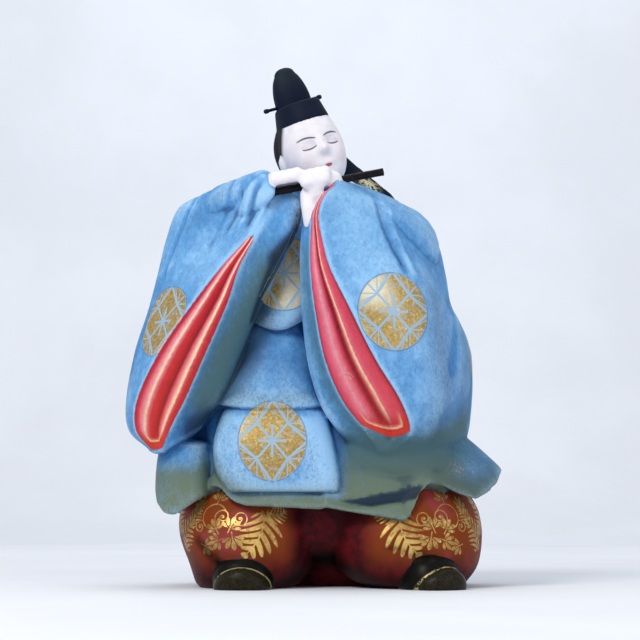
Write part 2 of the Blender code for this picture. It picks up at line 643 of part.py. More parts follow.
def main():
    clear_scene()
    ovals("torso", TORSO, 14, "robe_blue", above=4, sides=48, folds=FOLDS_TORSO)
    hemmed("skirt", *SKIRT, SKIRT_FRONT, SKIRT_BACK, SKIRT_LEVELS, folds=SKIRT_FOLDS)
    ovals("apron", APRON, 9, "robe_blue")
    ovals("belly", BELLY, 9, "robe_blue", bend=3)
    ovals("chest", CHEST, 8, "robe_blue", bend=9)
    ovals("collar", COLLAR, 3, "robe_blue")
    ovals("leg_left", LEG_LEFT, 12, "trousers_wine", sides=40, folds=FOLDS_LEG_LEFT)
    ovals("leg_right", LEG_RIGHT, 12, "trousers_wine", sides=40, folds=FOLDS_LEG_RIGHT)
    ovals("leg_web", LEG_WEB, 3, "trousers_wine", sides=16)
    hemmed("flap_left", *FLAP_LEFT, FLAP_LEFT_EDGE, FLAP_LEFT_EDGE, FLAP_LEVELS, above=4)
    hemmed("flap_right", *FLAP_RIGHT, FLAP_RIGHT_EDGE, FLAP_RIGHT_EDGE, FLAP_LEVELS, above=2)
    sleeve("sleeve_left", SLEEVE_LEFT, LINING_LEFT, FOLDS_SLEEVE_LEFT, below=4, above=4)
    sleeve("sleeve_right", SLEEVE_RIGHT, LINING_RIGHT, FOLDS_SLEEVE_RIGHT, below=4, above=3)
    tube("arm_left", ARM_LEFT, 9, "robe_blue", sides=16)
    tube("arm_right", ARM_RIGHT, 9, "robe_blue", sides=16)
    tube("neck", NECK, 4, "skin_white", sides=16)
    tube("ribbon", RIBBON, 12, "lacquer_black", sides=10)
    tube("palm_left", PALM_LEFT, 5, "skin_white")
    tube("palm_right", PALM_RIGHT, 8, "skin_white", sides=12)
    fingers("finger_left", FINGERS_LEFT, FINGER_LEFT, 0.2)
    fingers("finger_right", FINGERS_RIGHT, FINGER_RIGHT, -0.3)
    head()
    for name, sizes in SHOES.items():
        shoe(name, *sizes)
    figure = joined("figure", list(bpy.context.scene.collection.objects), "robe_blue")
    place = head_place()
    pin_ends = [tuple(place @ (Vector((x, PIN_PLACE[1], PIN_PLACE[2])) * MM) / MM) for x in PIN_REACH]
    rods = {"flute": (FLUTE_ENDS, FLUTE_RADIUS, "flute_black"), "cap_pin": (pin_ends, PIN_RADIUS, "lacquer_black")}
    for name, (ends, radius, finish) in rods.items():
        bored(figure, f"{name}_bore", ends, radius)
    settled(figure)
    for name, (ends, radius, finish) in rods.items():
        rod(name, ends, radius, finish)


main()
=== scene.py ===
"""The looks of a painted clay doll: a court musician in a wide robe who plays a side-blown flute.

The figure is one piece of clay. It is built from smooth shells that are fused, softened, given the finer
folds of its cloth, and painted: each painted area is a value on the mesh, and the material draws the patterns.
Shape tables are in millimetres, +Z up, the front of the figure towards -Y. Left and right are the viewer's.
"""

import math

import bpy
import numpy as np
from bpy.props import BoolProperty, FloatProperty, FloatVectorProperty, IntProperty, PointerProperty
from mathutils import Euler, Matrix, Vector
from mathutils.bvhtree import BVHTree


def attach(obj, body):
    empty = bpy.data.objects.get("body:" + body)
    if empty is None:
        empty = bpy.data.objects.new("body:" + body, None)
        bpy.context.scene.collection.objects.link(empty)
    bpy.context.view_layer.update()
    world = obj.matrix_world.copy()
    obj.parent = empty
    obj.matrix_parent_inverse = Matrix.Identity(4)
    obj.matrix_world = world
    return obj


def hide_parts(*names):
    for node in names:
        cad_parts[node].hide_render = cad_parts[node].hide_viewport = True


bl_info = {
    "name": "Clay Court Musician",
    "version": (1, 0, 0),
    "blender": (4, 5, 0),
    "location": "View3D > Sidebar > Doll",
    "description": "Builds a painted clay doll of a court musician with a side-blown flute",
    "category": "Object",
}

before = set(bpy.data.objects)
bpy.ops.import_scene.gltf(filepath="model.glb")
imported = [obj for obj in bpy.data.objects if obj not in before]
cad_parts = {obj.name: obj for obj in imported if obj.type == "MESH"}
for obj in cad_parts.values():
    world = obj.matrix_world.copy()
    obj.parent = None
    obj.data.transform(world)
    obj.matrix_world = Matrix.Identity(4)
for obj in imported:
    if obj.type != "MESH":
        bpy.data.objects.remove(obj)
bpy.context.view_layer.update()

MM = 0.001

# Driving places of the head and the flute, in millimetres and degrees.
FLUTE_ENDS = ((-31.0, -62.0, 199.4), (32.0, -56.0, 212.3))
HEAD_CENTRE = (-5.2, -21.0, 232.5)
HEAD_ROLL = -19.0
HEAD_TURN = 16.0
HEAD_NOD = 4.0

# How finely the shells are cut before they are fused.
OVAL_SIDES = 72
HEAD_SIDES = 64
RAIL_LEVELS = 64
CLOTH_STEPS = 12
TUBE_SIDES = 24
# Oval sections: height, left, right, front, back, squareness (2 is an ellipse, more is boxier).
TORSO = (
    (66, -69, 62, -42, 44, 2.6),
    (80, -70, 62, -42, 45, 2.5),
    (98, -67, 60, -40, 44, 2.4),
    (122, -66, 62, -36, 43, 2.3),
    (145, -74, 64, -33, 43, 2.2),
    (165, -78, 66, -31, 42, 2.2),
    (182, -76, 62, -28, 39, 2.2),
    (194, -72, 54, -24, 34, 2.1),
    (203, -62, 42, -18, 28, 2.0),
    (208, -44, 30, -14, 20, 2.0),
)
APRON = (
    (49, -47, 9.5, -60, -20, 4.6),
    (51, -49, 11.0, -61, -20, 4.6),
    (60, -53.5, 10.5, -61.5, -20, 4.4),
    (74, -54.5, 7.5, -60, -20, 4.0),
    (88, -51, 4, -54.5, -20, 3.4),
    (98, -46, 0, -46, -20, 2.8),
)
BELLY = (
    (90.5, -54, 6, -54, -15, 2.8),
    (92, -55, 7, -55, -15, 2.8),
    (97, -54, 5.5, -55, -15, 2.7),
    (108, -51, 1.5, -52, -15, 2.6),
    (122, -46, -4, -47, -15, 2.5),
    (132, -42, -8, -43, -15, 2.4),
    (142, -38, -8, -36, -15, 2.4),
)
CHEST = (
    (131.5, -38, -6, -46, -10, 2.4),
    (133, -41, -4, -48.5, -10, 2.3),
    (139, -43, -1, -49.5, -10, 2.3),
    (150, -42, 2, -46.5, -10, 2.3),
    (170, -38, 8, -38, -10, 2.2),
    (190, -32, 12, -28, 0, 2.0),
)
COLLAR = (
    (200, -15, 22, -24, 19, 2.2),
    (208, -13, 19, -23, 15, 2.2),
    (214, -12, 16, -23, 12, 2.2),
)
LEG_LEFT = (
    (0, -63, -14, -48, 36, 2.6),
    (3, -65.5, -9, -52, 40, 2.5),
    (12, -68.5, -2, -57, 43, 2.4),
    (26, -73.5, 1, -58, 44, 2.4),
    (38, -74, 1, -54, 43, 2.4),
    (46, -70.5, 0, -49, 41, 2.4),
    (53, -64, -2, -44, 36, 2.4),
    (58, -52, -8, -36, 28, 2.4),
)
LEG_RIGHT = (
    (0, 30, 73, -48, 36, 2.6),
    (3, 17, 77, -53, 40, 2.5),
    (12, 6, 83, -58, 43, 2.4),
    (26, 0, 85.2, -58, 44, 2.4),
    (38, 0, 84, -54, 43, 2.4),
    (46, 0, 80.5, -49, 41, 2.4),
    (53, 2, 76, -44, 36, 2.4),
    (58, 8, 62, -36, 28, 2.4),
)
LEG_WEB = (
    (0, -34, 44, -14, 34, 3.0),
    (12, -30, 42, -26, 34, 3.0),
    (22, -28, 40, -41, 34, 3.0),
    (36, -28, 40, -44, 34, 3.0),
    (48, -28, 40, -42, 34, 3.0),
)
# The parts of the robe with an uneven lower edge: their section there and the one at the top, the height of
# the edge by x before and behind, and for each share of the way up how far the cloth swells.
SKIRT = ((-62.0, 68.0, -60.0, 47.0, 3.8), (92, -62, 62, -41, 45, 2.5))
SKIRT_FRONT = (
    (-62, 42), (-59, 47), (-55, 52), (-51, 51), (-47, 46.5), (-43, 43.5), (-38, 42), (-18, 41), (0, 40),
    (3, 41), (20, 38), (33, 36), (43.5, 34.2), (46, 37), (50, 45), (56.5, 53.5), (62, 51), (68, 46),
)
SKIRT_BACK = ((-62, 42), (-45, 43), (-20, 40), (0, 42), (20, 40), (48, 43), (68, 46))
SKIRT_LEVELS = ((0, 0), (0.04, 0.6), (0.13, 0.3), (0.19, -1.8), (0.4, -0.8), (0.7, 0), (1, 0))
SKIRT_FOLDS = (
    (((14, -60, 44.5), (30, -59, 45.5), (42, -57, 47.5), (50, -54, 50)), 3.4, 4.0),
)
FLAP_LEFT = ((-85.5, -54, -52, 32, 3.2), (73, -84, -55, -44, 26, 2.8))
FLAP_LEFT_EDGE = ((-85.5, 50), (-83.5, 43), (-79, 38), (-74, 37), (-66, 42), (-60, 46), (-54, 50))
FLAP_RIGHT = ((40, 96, -50, 32, 2.3), (84, 40, 71, -26, 24, 2.2))
FLAP_RIGHT_EDGE = ((40, 56), (57, 54.5), (62, 52), (70, 48), (80, 45), (87, 49), (92, 54), (96, 61))
FLAP_LEVELS = ((0, 0), (0.12, 0.8), (0.45, 1.2), (0.75, 0.9), (1, 0))
HEMMED_SIDES = 120

# The rails of the two hanging sleeves, from the bottom up: x, y, height.
# "outer" and "inner" are the two edges of the sleeve's mouth, where the lining shows.
SLEEVE_LEFT = {
    "outer": ((-86, -46, 70), (-94, -50, 80), (-93, -54, 96), (-81, -60, 120), (-64, -64, 144),
              (-50, -65, 162), (-36, -65, 178), (-28, -63, 194), (-24.5, -60, 206), (-24, -56, 211)),
    "side": ((-88, -28, 72), (-98, -28, 81), (-100, -27, 97), (-97, -24, 122), (-90, -24, 146),
             (-85, -24, 166), (-81, -22, 182), (-75, -20, 199), (-66, -22, 205), (-56, -30, 208)),
    "back": ((-72, 8, 76), (-76, 14, 84), (-76, 18, 98), (-74, 20, 122), (-70, 22, 146),
             (-68, 22, 166), (-66, 18, 182), (-62, 8, 195), (-56, -2, 202), (-48, -14, 205)),
    "inside": ((-60, -42, 84), (-54, -42, 91), (-48, -43, 99), (-39, -45, 123), (-30, -47, 145),
               (-21, -49, 163), (-14, -50, 178), (-10.5, -52, 191), (-12, -51, 199), (-20, -46, 203)),
    "inner": ((-80, -52, 71), (-76, -57, 81), (-68, -61, 96), (-57, -67, 120), (-47, -69, 143),
              (-41, -68, 161), (-33, -66, 177), (-26, -62, 190), (-22.5, -58, 201), (-23, -54, 207)),
}
SLEEVE_RIGHT = {
    "outer": ((38, -60, 70), (45, -68, 79), (40, -74, 94), (27, -77, 115), (14, -77, 141),
              (5, -74, 160), (1, -71, 175), (-1, -69, 189), (2, -68.5, 199), (8.5, -64.5, 206.5)),
    "front": ((55, -46, 66), (60, -50, 78), (62, -54, 94), (61, -56, 115), (56, -57, 140),
              (50, -56, 160), (43, -53, 176), (37, -50, 189), (31, -48, 199), (25, -45, 204.5)),
    "side": ((70, -10, 66), (78, -6, 78), (81, 0, 92), (82, 0, 110), (80.5, 0, 128),
             (71, -2, 149), (68, -2, 165), (64, -3, 182), (56, -6, 197), (44, -10, 203)),
    "back": ((52, 18, 70), (60, 24, 82), (64, 28, 96), (65, 30, 115), (62, 28, 133),
             (56, 24, 152), (52, 18, 168), (46, 10, 184), (38, 0, 197), (30, -8, 203)),
    "inside": ((15, -44, 74), (8, -46, 83), (2.5, -46, 94), (-2.5, -47, 115), (-5, -48, 141),
               (-6, -49, 160), (-6, -50, 175), (-5, -51, 188), (0, -50, 197), (12, -43, 204)),
    "inner": ((30, -60, 69), (23, -66, 79), (11, -70, 94), (2, -73, 115), (-3, -73, 141),
              (-5, -71, 160), (-5, -68, 175), (-4, -66, 189), (0, -63, 198), (7, -56, 205.5)),
}
# Across the lining, from the outer edge to the inner one: place, and depth as a share of the deepest.
LINING_LEFT = ((0, 0), (0.06, 0.6), (0.27, 0.15), (0.56, 1.0), (0.78, 0.15), (0.94, 0.6), (1, 0))
LINING_RIGHT = ((0, 0), (0.06, 0.6), (0.38, 0.15), (0.5, 1.0), (0.6, 0.6), (0.8, 0.35), (1, 0))
LINING_DEPTH = 4.0
LINING_DEPTH_SHARE = 0.24

# Arms inside the sleeves: x, y, height, half width, half height.
ARM_LEFT = (
    (-40, 8, 184, 17, 18),
    (-54, -6, 187, 17, 18),
    (-54, -22, 192, 14, 16),
    (-43, -39, 200, 11, 12),
    (-30, -52, 206, 7, 9),
)
ARM_RIGHT = (
    (34.5, 6, 179, 18.5, 19),
    (45, -8, 177, 18.5, 19.5),
    (43.5, -26, 178, 16.5, 21.5),
    (28, -40, 188, 14, 17),
    (12, -51, 198, 8, 10),
)
NECK = (
    (3, -6, 203, 12, 12),
    (1, -12, 212, 10.5, 10.5),
    (-1, -18, 222, 9.5, 10),
)

# The head, in its own frame: x to the right, y back, z up from its centre.
# Sections: height, half width, front, back, squareness.
HEAD = (
    (-23.5, 5.5, -15.5, -5, 2.2),
    (-21, 9, -18, -1, 2.2),
    (-16, 13, -19, 7, 2.2),
    (-9, 16, -19, 14, 2.15),
    (-1, 17, -18.4, 18, 2.1),
    (6, 15.9, -17.8, 18.5, 2.1),
    (12, 13.9, -16.6, 17, 2.1),
    (18, 11.5, -13, 14, 2.1),
)
CAP_BAND = (
    (12.2, 13.8, -17, 18.5, 2.2),
    (13.6, 13.7, -16.9, 18.3, 2.2),
    (18, 12.8, -15.4, 17, 2.2),
    (22.3, 11.9, -14, 15.5, 2.2),
    (23.2, 11.3, -13.4, 14.8, 2.2),
)
CAP_DOME = (
    (21, 10.0, -4, 13, 2.15),
    (28, 9.8, -3.8, 12.8, 2.15),
    (33, 9.1, -3.0, 12.2, 2.15),
    (38, 7.6, -1.5, 10.8, 2.1),
    (41.5, 5.6, -0.3, 9.4, 2.05),
)
PIN_PLACE = (0.0, 4.5, 24.9)
PIN_REACH = (-17.4, 16.4)
PIN_RADIUS = 1.25
HAIR = (
    (-12, 14.0, 5, 16.6, 2.1),
    (-8, 16.6, 2, 18.2, 2.1),
    (0, 17.6, -1, 19.4, 2.1),
    (7, 16.4, -4, 19.6, 2.1),
    (13, 13.6, -6, 17.6, 2.1),
)
EARS = ((-16.4, 2.5, -6.5), (16.4, 2.5, -6.5))
EAR_SIZE = (2.4, 3.6, 5.6)
# Raised and sunk forms of the face: x, height, spread across, spread up, rise.
FACE = (
    (0, -1.5, 2.6, 5.5, 2.2),
    (0, -5.5, 2.9, 2.4, 2.6),
    (0, -12.8, 4.2, 1.7, 0.9),
    (0, -19.5, 4.5, 3.0, 0.9),
    (-6.8, 0.5, 3.8, 2.2, -0.9),
    (6.8, 0.5, 3.8, 2.2, -0.9),
    (-8.5, -9, 5.0, 5.0, 0.7),
    (8.5, -9, 5.0, 5.0, 0.7),
)

# Cloth in the crease between the right sleeve's foot and the skirt: x, y, height, half width, half height.
LAP = (
    (20, -46, 70, 8, 9), (36, -47, 67, 9, 11), (52, -40, 66, 9, 11), (64, -26, 67, 8, 10),
    (74, -10, 70, 7, 8),
)

# The ribbon that hangs from the cap: x, y, height, half width, half thickness.
RIBBON = (
    (-8, -4, 243, 1.6, 4.5),
    (-1, 0, 238, 1.6, 5.4),
    (7, 1, 231, 1.6, 5.8),
    (15, 0, 224, 1.7, 5.4),
    (24, -1, 217.4, 1.8, 4.4),
    (31, 1, 212, 1.8, 4.2),
    (37.5, 5, 207, 1.8, 4.4),
    (42, 13, 200, 1.8, 4.6),
)

# Hands: paths of x, y, height, half width, half height.
PALM_LEFT = ((-29, -52, 206, 4.5, 5), (-20, -55, 208, 5.5, 4.6), (-11, -56, 209.5, 5, 4.2))
FINGERS_LEFT = (-23.2, -19.4, -15.6, -12.0)
FINGER_LEFT = ((-54, 6.8), (-60.0, 8.0), (-64.8, 6.8), (-66.0, 4.9))
PALM_RIGHT = (
    (5, -47, 170, 4.0, 4.0),
    (-0.5, -54, 182, 5.0, 4.0),
    (-3.0, -59, 193, 4.8, 4.0),
    (-3.6, -62.5, 201, 5.4, 4.0),
    (-2.6, -64, 207, 7.0, 4.2),
    (-1.4, -60, 210.5, 7.4, 3.2),
)
WRIST_RIGHT = (
    (-5.2, -61, 200, 5.2, 4), (-5.2, -62.5, 192, 4.4, 3.6), (-4.8, -61.8, 184, 3.2, 3),
    (-4.4, -60, 176, 1.8, 2),
)
HEEL_RIGHT = ((-3, -62.5, 208, 3.6, 4.4), (3, -62.5, 208, 3.6, 4.4), (8.5, -60.5, 208, 2.8, 3.8))
# The rim of the left sleeve, which lies over the end of the flute.
CUFF_LEFT = (
    (-44, -42, 188, 4, 5), (-38, -52, 194, 4.6, 7.5), (-31.5, -59, 200.5, 4.6, 8.8),
    (-27, -61.5, 204.5, 3.4, 8.6),
)
FINGERS_RIGHT = (-7.8, -4.2, -0.6, 3.0)
FINGER_RIGHT = ((-67.0, 0.5), (-65.4, 4.4), (-60.0, 5.6), (-54.0, 3.6))
FINGER_HALF = 2.75

# Shoes: centre x, y, half width, length out of the leg, height, turn outwards in degrees.
SHOES = {
    "shoe_left": (-38.8, -50.0, 15.4, 17.0, 18.0, -3.0),
    "shoe_right": (56.5, -50.0, 15.4, 18.0, 18.5, 38.0),
}

# Pressed folds: points, spread and depth, all in millimetres.
FOLDS_SLEEVE_LEFT = (
    (((-52, -18, 210), (-60, -20, 200), (-66, -24, 190), (-72, -26, 175), (-76, -28, 160)), 3.5, 2.2),
    (((-28, -60, 214), (-34, -58, 200), (-38, -60, 188), (-42, -62, 178)), 2.2, 1.2),
    (((-33, -52, 215), (-41, -52, 200), (-47, -54, 188)), 2.2, 1.0),
)
FOLDS_SLEEVE_RIGHT = (
    (((28, -22, 206), (33, -32, 196), (38, -42, 180), (44, -48, 163)), 3.0, 2.2),
    (((72, -8, 151), (66, -26, 146), (60, -36, 138)), 4.5, 2.2),
)
FOLDS_LEG_LEFT = ((((-64, -50, 26), (-58, -54, 20), (-52, -56, 14)), 3.5, 3.2),)
FOLDS_LEG_RIGHT = ((((36, -58, 21), (46, -58, 18), (54, -57, 15)), 3.5, 3.0),)
FOLDS_TORSO = (
    (((2, 28, 200), (0, 42, 170), (-1, 44, 130), (-1, 45, 95)), 6.5, 2.6),
    (((-36, 28, 198), (-28, 40, 160), (-25, 43, 115)), 6.5, 2.4),
    (((34, 26, 196), (28, 40, 160), (24, 43, 115)), 6.5, 2.4),
)

# How far a point may be from a shell and still count as near it, and the steps across a sleeve's lining.
GROUP_REACH = 8.0
MOUTH_STEPS = 33

# The skin of the clay: its grain when fused, in millimetres.
CLAY_GRAIN = 0.7

# How far a rim stands out, in millimetres, before it is rounded, and over how much more that takes hold.
RIM_FROM = 0.12
RIM_OVER = 0.25
RIM_ROUNDS = 10

# Crests on the robe: centre, turn in degrees, and half width, depth and half height.
ROUNDELS = (
    ((36, -62, 139), 8, (19.3, 18, 20.6)),
    ((-78.6, -46.5, 136), -42, (18.5, 18, 18.8)),
    ((-18.5, -42, 162), 0, (18, 14, 21)),
    ((-24.0, -58, 74.5), 0, (17.8, 18, 20.8)),
    ((4, 42, 150), 180, (21, 14, 22)),
    ((76, 12, 116), 100, (18, 14, 20)),
    ((-74, 14, 116), -100, (18, 14, 20)),
    ((4, 46, 72), 180, (18, 14, 19)),
)

# Colours that an area keeps where it meets another one.
PLAIN_COLOURS = {
    "robe": "56707A",
    "trousers": "3A1012",
    "skin": "E4DEE2",
    "hair": "121217",
    "cap": "0A0D16",
    "ribbon": "0C0E14",
    "shoes": "0C0B08",
    "toes": "1E1A10",
}

# Heights between which the left sleeve's mouth closes under its rim.
LINING_CLOSES = (175.0, 190.0)
# Lowest height of the right sleeve's lining, where across it lies, and how far its foot rises beside that.
LINING_FOOT = 76.2
LINING_FOOT_MIDDLE = 0.4
LINING_FOOT_RISE = 6.0

# The lining of the sleeves, from its outer edge (0) to its inner one (1), and along the foot by the way in.
# The pale bands lie on the ridges of its folds as painted highlights; the near-black band in its deepest groove
# is painted shade.
LINING_BANDS_LEFT = (
    (0.0, "B4283A"), (0.08, "CE4458"), (0.14, "E27C8C"), (0.22, "EBA2AA"), (0.27, "F2E0B8"),
    (0.32, "E07C86"),
    (0.38, "CE343C"), (0.46, "C4222C"), (0.53, "9C1222"), (0.57, "640A18"), (0.61, "D2404E"),
    (0.69, "E88E98"),
    (0.76, "F0C4B4"), (0.80, "F4E6B4"), (0.84, "DC5860"), (0.92, "BC202A"), (1.0, "A0141E"),
)
LINING_BANDS_RIGHT = (
    (0.0, "6A1C38"), (0.05, "C23A58"), (0.13, "D8607A"), (0.25, "E0909E"), (0.36, "D25068"),
    (0.44, "A01A34"),
    (0.48, "5E0A1C"), (0.53, "BE2C44"), (0.58, "DE8C84"), (0.615, "EBD9A6"), (0.65, "DC6078"),
    (0.76, "D24A60"),
    (0.88, "CC4256"), (0.95, "B83044"), (1.0, "82182C"),
)
LINING_BANDS_FOOT = (
    (0.0, "C0281E"), (0.22, "CE3224"), (0.34, "BE2030"), (0.42, "EAD69A"), (0.5, "D87070"),
    (0.62, "B01828"),
    (1.0, "840C1E"),
)

# The trousers' pattern is laid out flat on each leg: across by angle round the leg's axis, up by height.
LEG_MIDDLE = 6.0
LEG_APART = 42.0
LEG_DEPTH = -6.0
LEG_ROUND = 46.0

# Its motifs: kind, place across and up, turn in degrees, size, and bend or half angle.
ARABESQUE = (
    ("frond", -7.4, 38.5, -92, 25, 1),
    ("frond", -8.5, 37.5, 195, 12, -1),
    ("curl", 4.1, 35.6, 200, 3.8, 1),
    ("curl", 12.5, 36.4, 0, 4.2, -1),
    ("bow", 17.0, 36.6, 10, 6.2, 140),
    ("bow", 2.0, 41.0, 250, 9.0, 60),
    ("fan", 14.7, 29.6, 60, 6.4),
    ("fan", 8.6, 30.4, 110, 6.6),
    ("fan", 7.2, 26.6, 260, 7.0),
    ("fan", 13.2, 24.8, 340, 6.2),
    ("frond", 31.0, 31.0, 95, 13, 1),
    ("frond", 40.0, 19.0, 100, 20, 1),
    ("fan", 27.0, 40.6, 60, 6.6),
    ("fan", 16.5, 44.6, 100, 6.8),
    ("fan", 22.5, 22.0, 200, 6.0),
    ("curl", 24.5, 31.4, 60, 3.4, 1),
    ("frond", 52.0, 44.0, -100, 20, -1),
    ("fan", 47.0, 42.0, 120, 6.6),
)

# The face, in the head's frame: turn, half length, arch, thickness, softness, colour, strength, and places.
FACE_STROKES = (
    (4, 4.6, 1.0, 0.30, 0.35, "2A2426", 0.85, ((-1, -6.8, 1.6), (1, 6.8, 1.6))),
    (-2, 3.6, -0.75, 0.26, 0.3, "1A1618", 0.95, ((-1, -6.6, -2.9), (1, 6.6, -2.9))),
    # Painted shade on the upper lids, in the hollows of the eyes.
    (0, 3.6, -0.2, 0.9, 1.6, "A898B0", 0.30, ((1, -6.6, -2.0), (1, 6.6, -2.0))),
    (0, 1.9, -0.2, 0.75, 0.3, "B23A44", 0.9, ((1, 0, -14.1),)),
    (0, 2.6, 0.0, 2.6, 3.4, "E9B4B4", 0.14, ((1, -8.4, -9.5), (1, 8.4, -9.5))),
)
HAIRLINE = ((-25, 8), (-12, 7), (-8, 3), (0, -2.5), (12, -5.5), (25, -6))

# Places where flakes of gold leaf lie on the robe: path, spread and strength.
FLECK_STROKES = (
    (((18, -72, 184), (18, -73, 178)), 2.5, 1.0),
    (((-48, -58, 131), (-51, -58, 124)), 3.0, 1.0),
    (((12, -70, 110), (15, -70, 106)), 1.6, 0.8),
    (((10, -58, 52), (14, -58, 50)), 3.0, 0.9),
    (((70, -40, 60), (84, -24, 58)), 4.0, 0.9),
)
LEAF_STROKES = (
    (((23, -3, 217), (29, -1, 213)), 2.8, 1.0),
)

# Creases that a wet finger has smoothed away: path, spread and rounds.
SMEAR_STROKES = (
    (((22, -54, 66), (36, -58, 61), (52, -51, 61), (64, -37, 63), (74, -20, 67)), 8, 90),
    (((-6, -43, 33), (-6, -42, 22), (-5, -40, 8)), 5, 110),
    (((10, -44, 33), (10, -43, 22), (9, -41, 8)), 5, 110),
    (((-26, -64, 205), (-12, -66, 206), (0, -66, 205), (8, -64, 204)), 7, 12),
    (((0, -66, 200), (-1, -66, 195), (-2, -67, 188)), 6, 16),
)

# How far off the clay a stroke may be given, in millimetres: it is laid on the nearest clay.
STROKE_LIFT = 5.0

# Strokes of the modelling tool that sharpen the folds of the cloth: path, spread and rise, in millimetres.
TOOL_STROKES = (
    (((-30, -65, 207), (-34, -62, 196), (-37, -60, 183)), 1.7, -0.9),
    (((-35, -61, 207), (-38, -59.5, 194), (-42, -57, 180)), 1.8, 0.7),
    (((-40, -57, 207), (-44, -55, 195), (-48, -52, 180)), 1.7, -0.9),
    (((-53, -15, 209), (-62, -22, 196), (-70, -27, 176), (-76, -30, 158)), 1.6, -0.9),
    (((-40, -42, 205), (-50, -48, 188), (-58, -50, 172)), 2.4, -0.8),
    (((-84, -34, 160), (-92, -34, 136), (-96, -34, 112)), 3.0, -0.6),
    (((-88, -6, 170), (-94, -6, 140), (-96, -4, 110)), 3.2, -0.7),
    (((28, -50, 199), (31, -55, 189), (34, -58, 180), (38, -60, 171), (43, -61, 161)), 1.6, -1.0),
    (((34, -48, 195), (38, -54, 182), (44, -58, 168), (48, -59, 158)), 2.4, 0.8),
    (((70, -20, 150), (72, -34, 132), (68, -44, 112)), 3.4, -0.8),
    (((78, 0, 140), (80, -6, 115), (78, -14, 92)), 3.0, -0.6),
    (((-16, 34, 196), (-13, 42, 150), (-12, 44, 100)), 2.6, -1.0),
    (((16, 34, 196), (14, 42, 150), (12, 44, 100)), 2.6, -1.0),
    (((-52, 26, 178), (-48, 34, 140), (-44, 40, 100)), 2.6, -0.9),
    (((48, 26, 178), (44, 34, 140), (40, 40, 100)), 2.6, -0.9),
)


def curve_through(points, count):
    """Evenly counted points on a smooth curve through the given ones, whatever they hold."""
    p = np.asarray(points, float)
    ends = np.vstack([2 * p[0] - p[1], p, 2 * p[-1] - p[-2]])
    t = np.linspace(0, len(p) - 1, count)
    i = np.minimum(t.astype(int), len(p) - 2)
    f = (t - i)[:, None]
    a, b, c, d = ends[i], ends[i + 1], ends[i + 2], ends[i + 3]
    return (2 * b + (c - a) * f + (2 * a - 5 * b + 4 * c - d) * f**2 + (3 * b - a - 3 * c + d) * f**3) / 2


def superellipse(squareness, sides):
    """Points round a superellipse of half size 1, with x to the right and y back."""
    turn = np.linspace(0, 2 * math.pi, sides, endpoint=False)
    power = 2 / squareness
    x = np.sign(np.cos(turn)) * np.abs(np.cos(turn)) ** power
    y = np.sign(np.sin(turn)) * np.abs(np.sin(turn)) ** power
    return x, y


def oval(row, sides):
    """One level ring between the left, right, front and back of the row."""
    height, left, right, front, back, squareness = row
    x, y = superellipse(squareness, sides)
    ring = np.empty((sides, 3))
    ring[:, 0] = (left + right) / 2 + x * (right - left) / 2
    ring[:, 1] = (front + back) / 2 + y * (back - front) / 2
    ring[:, 2] = height
    return ring


def shrunk_ends(rings, below, above):
    """The rings with a rounded close added at each end that has a rise."""
    rings = list(rings)
    for rise, at_top in ((below, False), (above, True)):
        if not rise:
            continue
        last = rings[-1] if at_top else rings[0]
        centre = last.mean(axis=0)
        for degrees in (20, 38, 54, 68, 80, 87):
            a = math.radians(degrees)
            ring = centre + (last - centre) * math.cos(a)
            ring[:, 2] += math.sin(a) * rise * (1 if at_top else -1)
            if at_top:
                rings.append(ring)
            else:
                rings.insert(0, ring)
    return rings


def distance_to_path(points, path):
    """How far each point is from a path of straight lengths."""
    nearest = np.full(len(points), 1e9)
    for a, b in zip(path, path[1:]):
        run = b - a
        share = np.clip((points - a) @ run / (run @ run), 0, 1)
        nearest = np.minimum(nearest, np.linalg.norm(points - a - np.outer(share, run), axis=1))
    return nearest


def folded(rings, folds):
    """The rings with folds pressed in towards the middle of each ring, fading at the ends of a fold."""
    done = []
    for ring in rings:
        middle = ring.mean(axis=0)
        inward = middle - ring
        inward[:, 2] = 0
        room = np.linalg.norm(inward, axis=1)
        inward /= np.maximum(room, 1e-6)[:, None]
        pressed = np.zeros(len(ring))
        for path, spread, depth in folds:
            away = distance_to_path(ring, np.asarray(path, float))
            pressed = np.maximum(pressed, depth * np.exp(-((away / spread) ** 2)))
        done.append(ring + inward * np.minimum(pressed, room * 0.25)[:, None])
    return done


class Shell:
    """A closed skin over rings of points, and the paint group that it belongs to."""

    def __init__(self, group, rings, place=None):
        rings = np.asarray(rings, float)
        levels, sides = rings.shape[:2]
        points = np.vstack([rings.reshape(-1, 3), rings[0].mean(axis=0), rings[-1].mean(axis=0)])
        if place:
            turn = np.array(place)
            points = points @ turn[:3, :3].T + turn[:3, 3] / MM
        here = np.arange(levels * sides).reshape(levels, sides)
        beside = np.roll(here, -1, axis=1)
        self.group = group
        self.points = points
        self.quads = np.stack([here[:-1], beside[:-1], beside[1:], here[1:]], axis=-1).reshape(-1, 4)
        bottom = np.full(sides, levels * sides)
        self.fans = np.vstack([
            np.stack([beside[0], here[0], bottom], axis=-1),
            np.stack([here[-1], beside[-1], bottom + 1], axis=-1),
        ])
        if self.volume() < 0:
            self.quads = self.quads[:, ::-1]
            self.fans = self.fans[:, ::-1]

    def triangles(self):
        return np.vstack([self.quads[:, (0, 1, 2)], self.quads[:, (0, 2, 3)], self.fans])

    def volume(self):
        a, b, c = (self.points[column] for column in self.triangles().T)
        return float(np.einsum("ij,ij->i", a, np.cross(b, c)).sum())


def ovals(group, table, levels, below=0.0, above=0.0, folds=(), bend=0.0):
    """A shell over a table of oval sections. A bend lifts the two sides of the lower sections."""
    rings = [oval(row, OVAL_SIDES) for row in curve_through(table, levels)]
    for number, ring in enumerate(rings):
        across = ring[:, 0] - ring[:, 0].mean()
        ring[:, 2] += bend * (across / across.max()) ** 2 * (1 - number / (levels - 1))
    return Shell(group, folded(shrunk_ends(rings, below, above), folds))


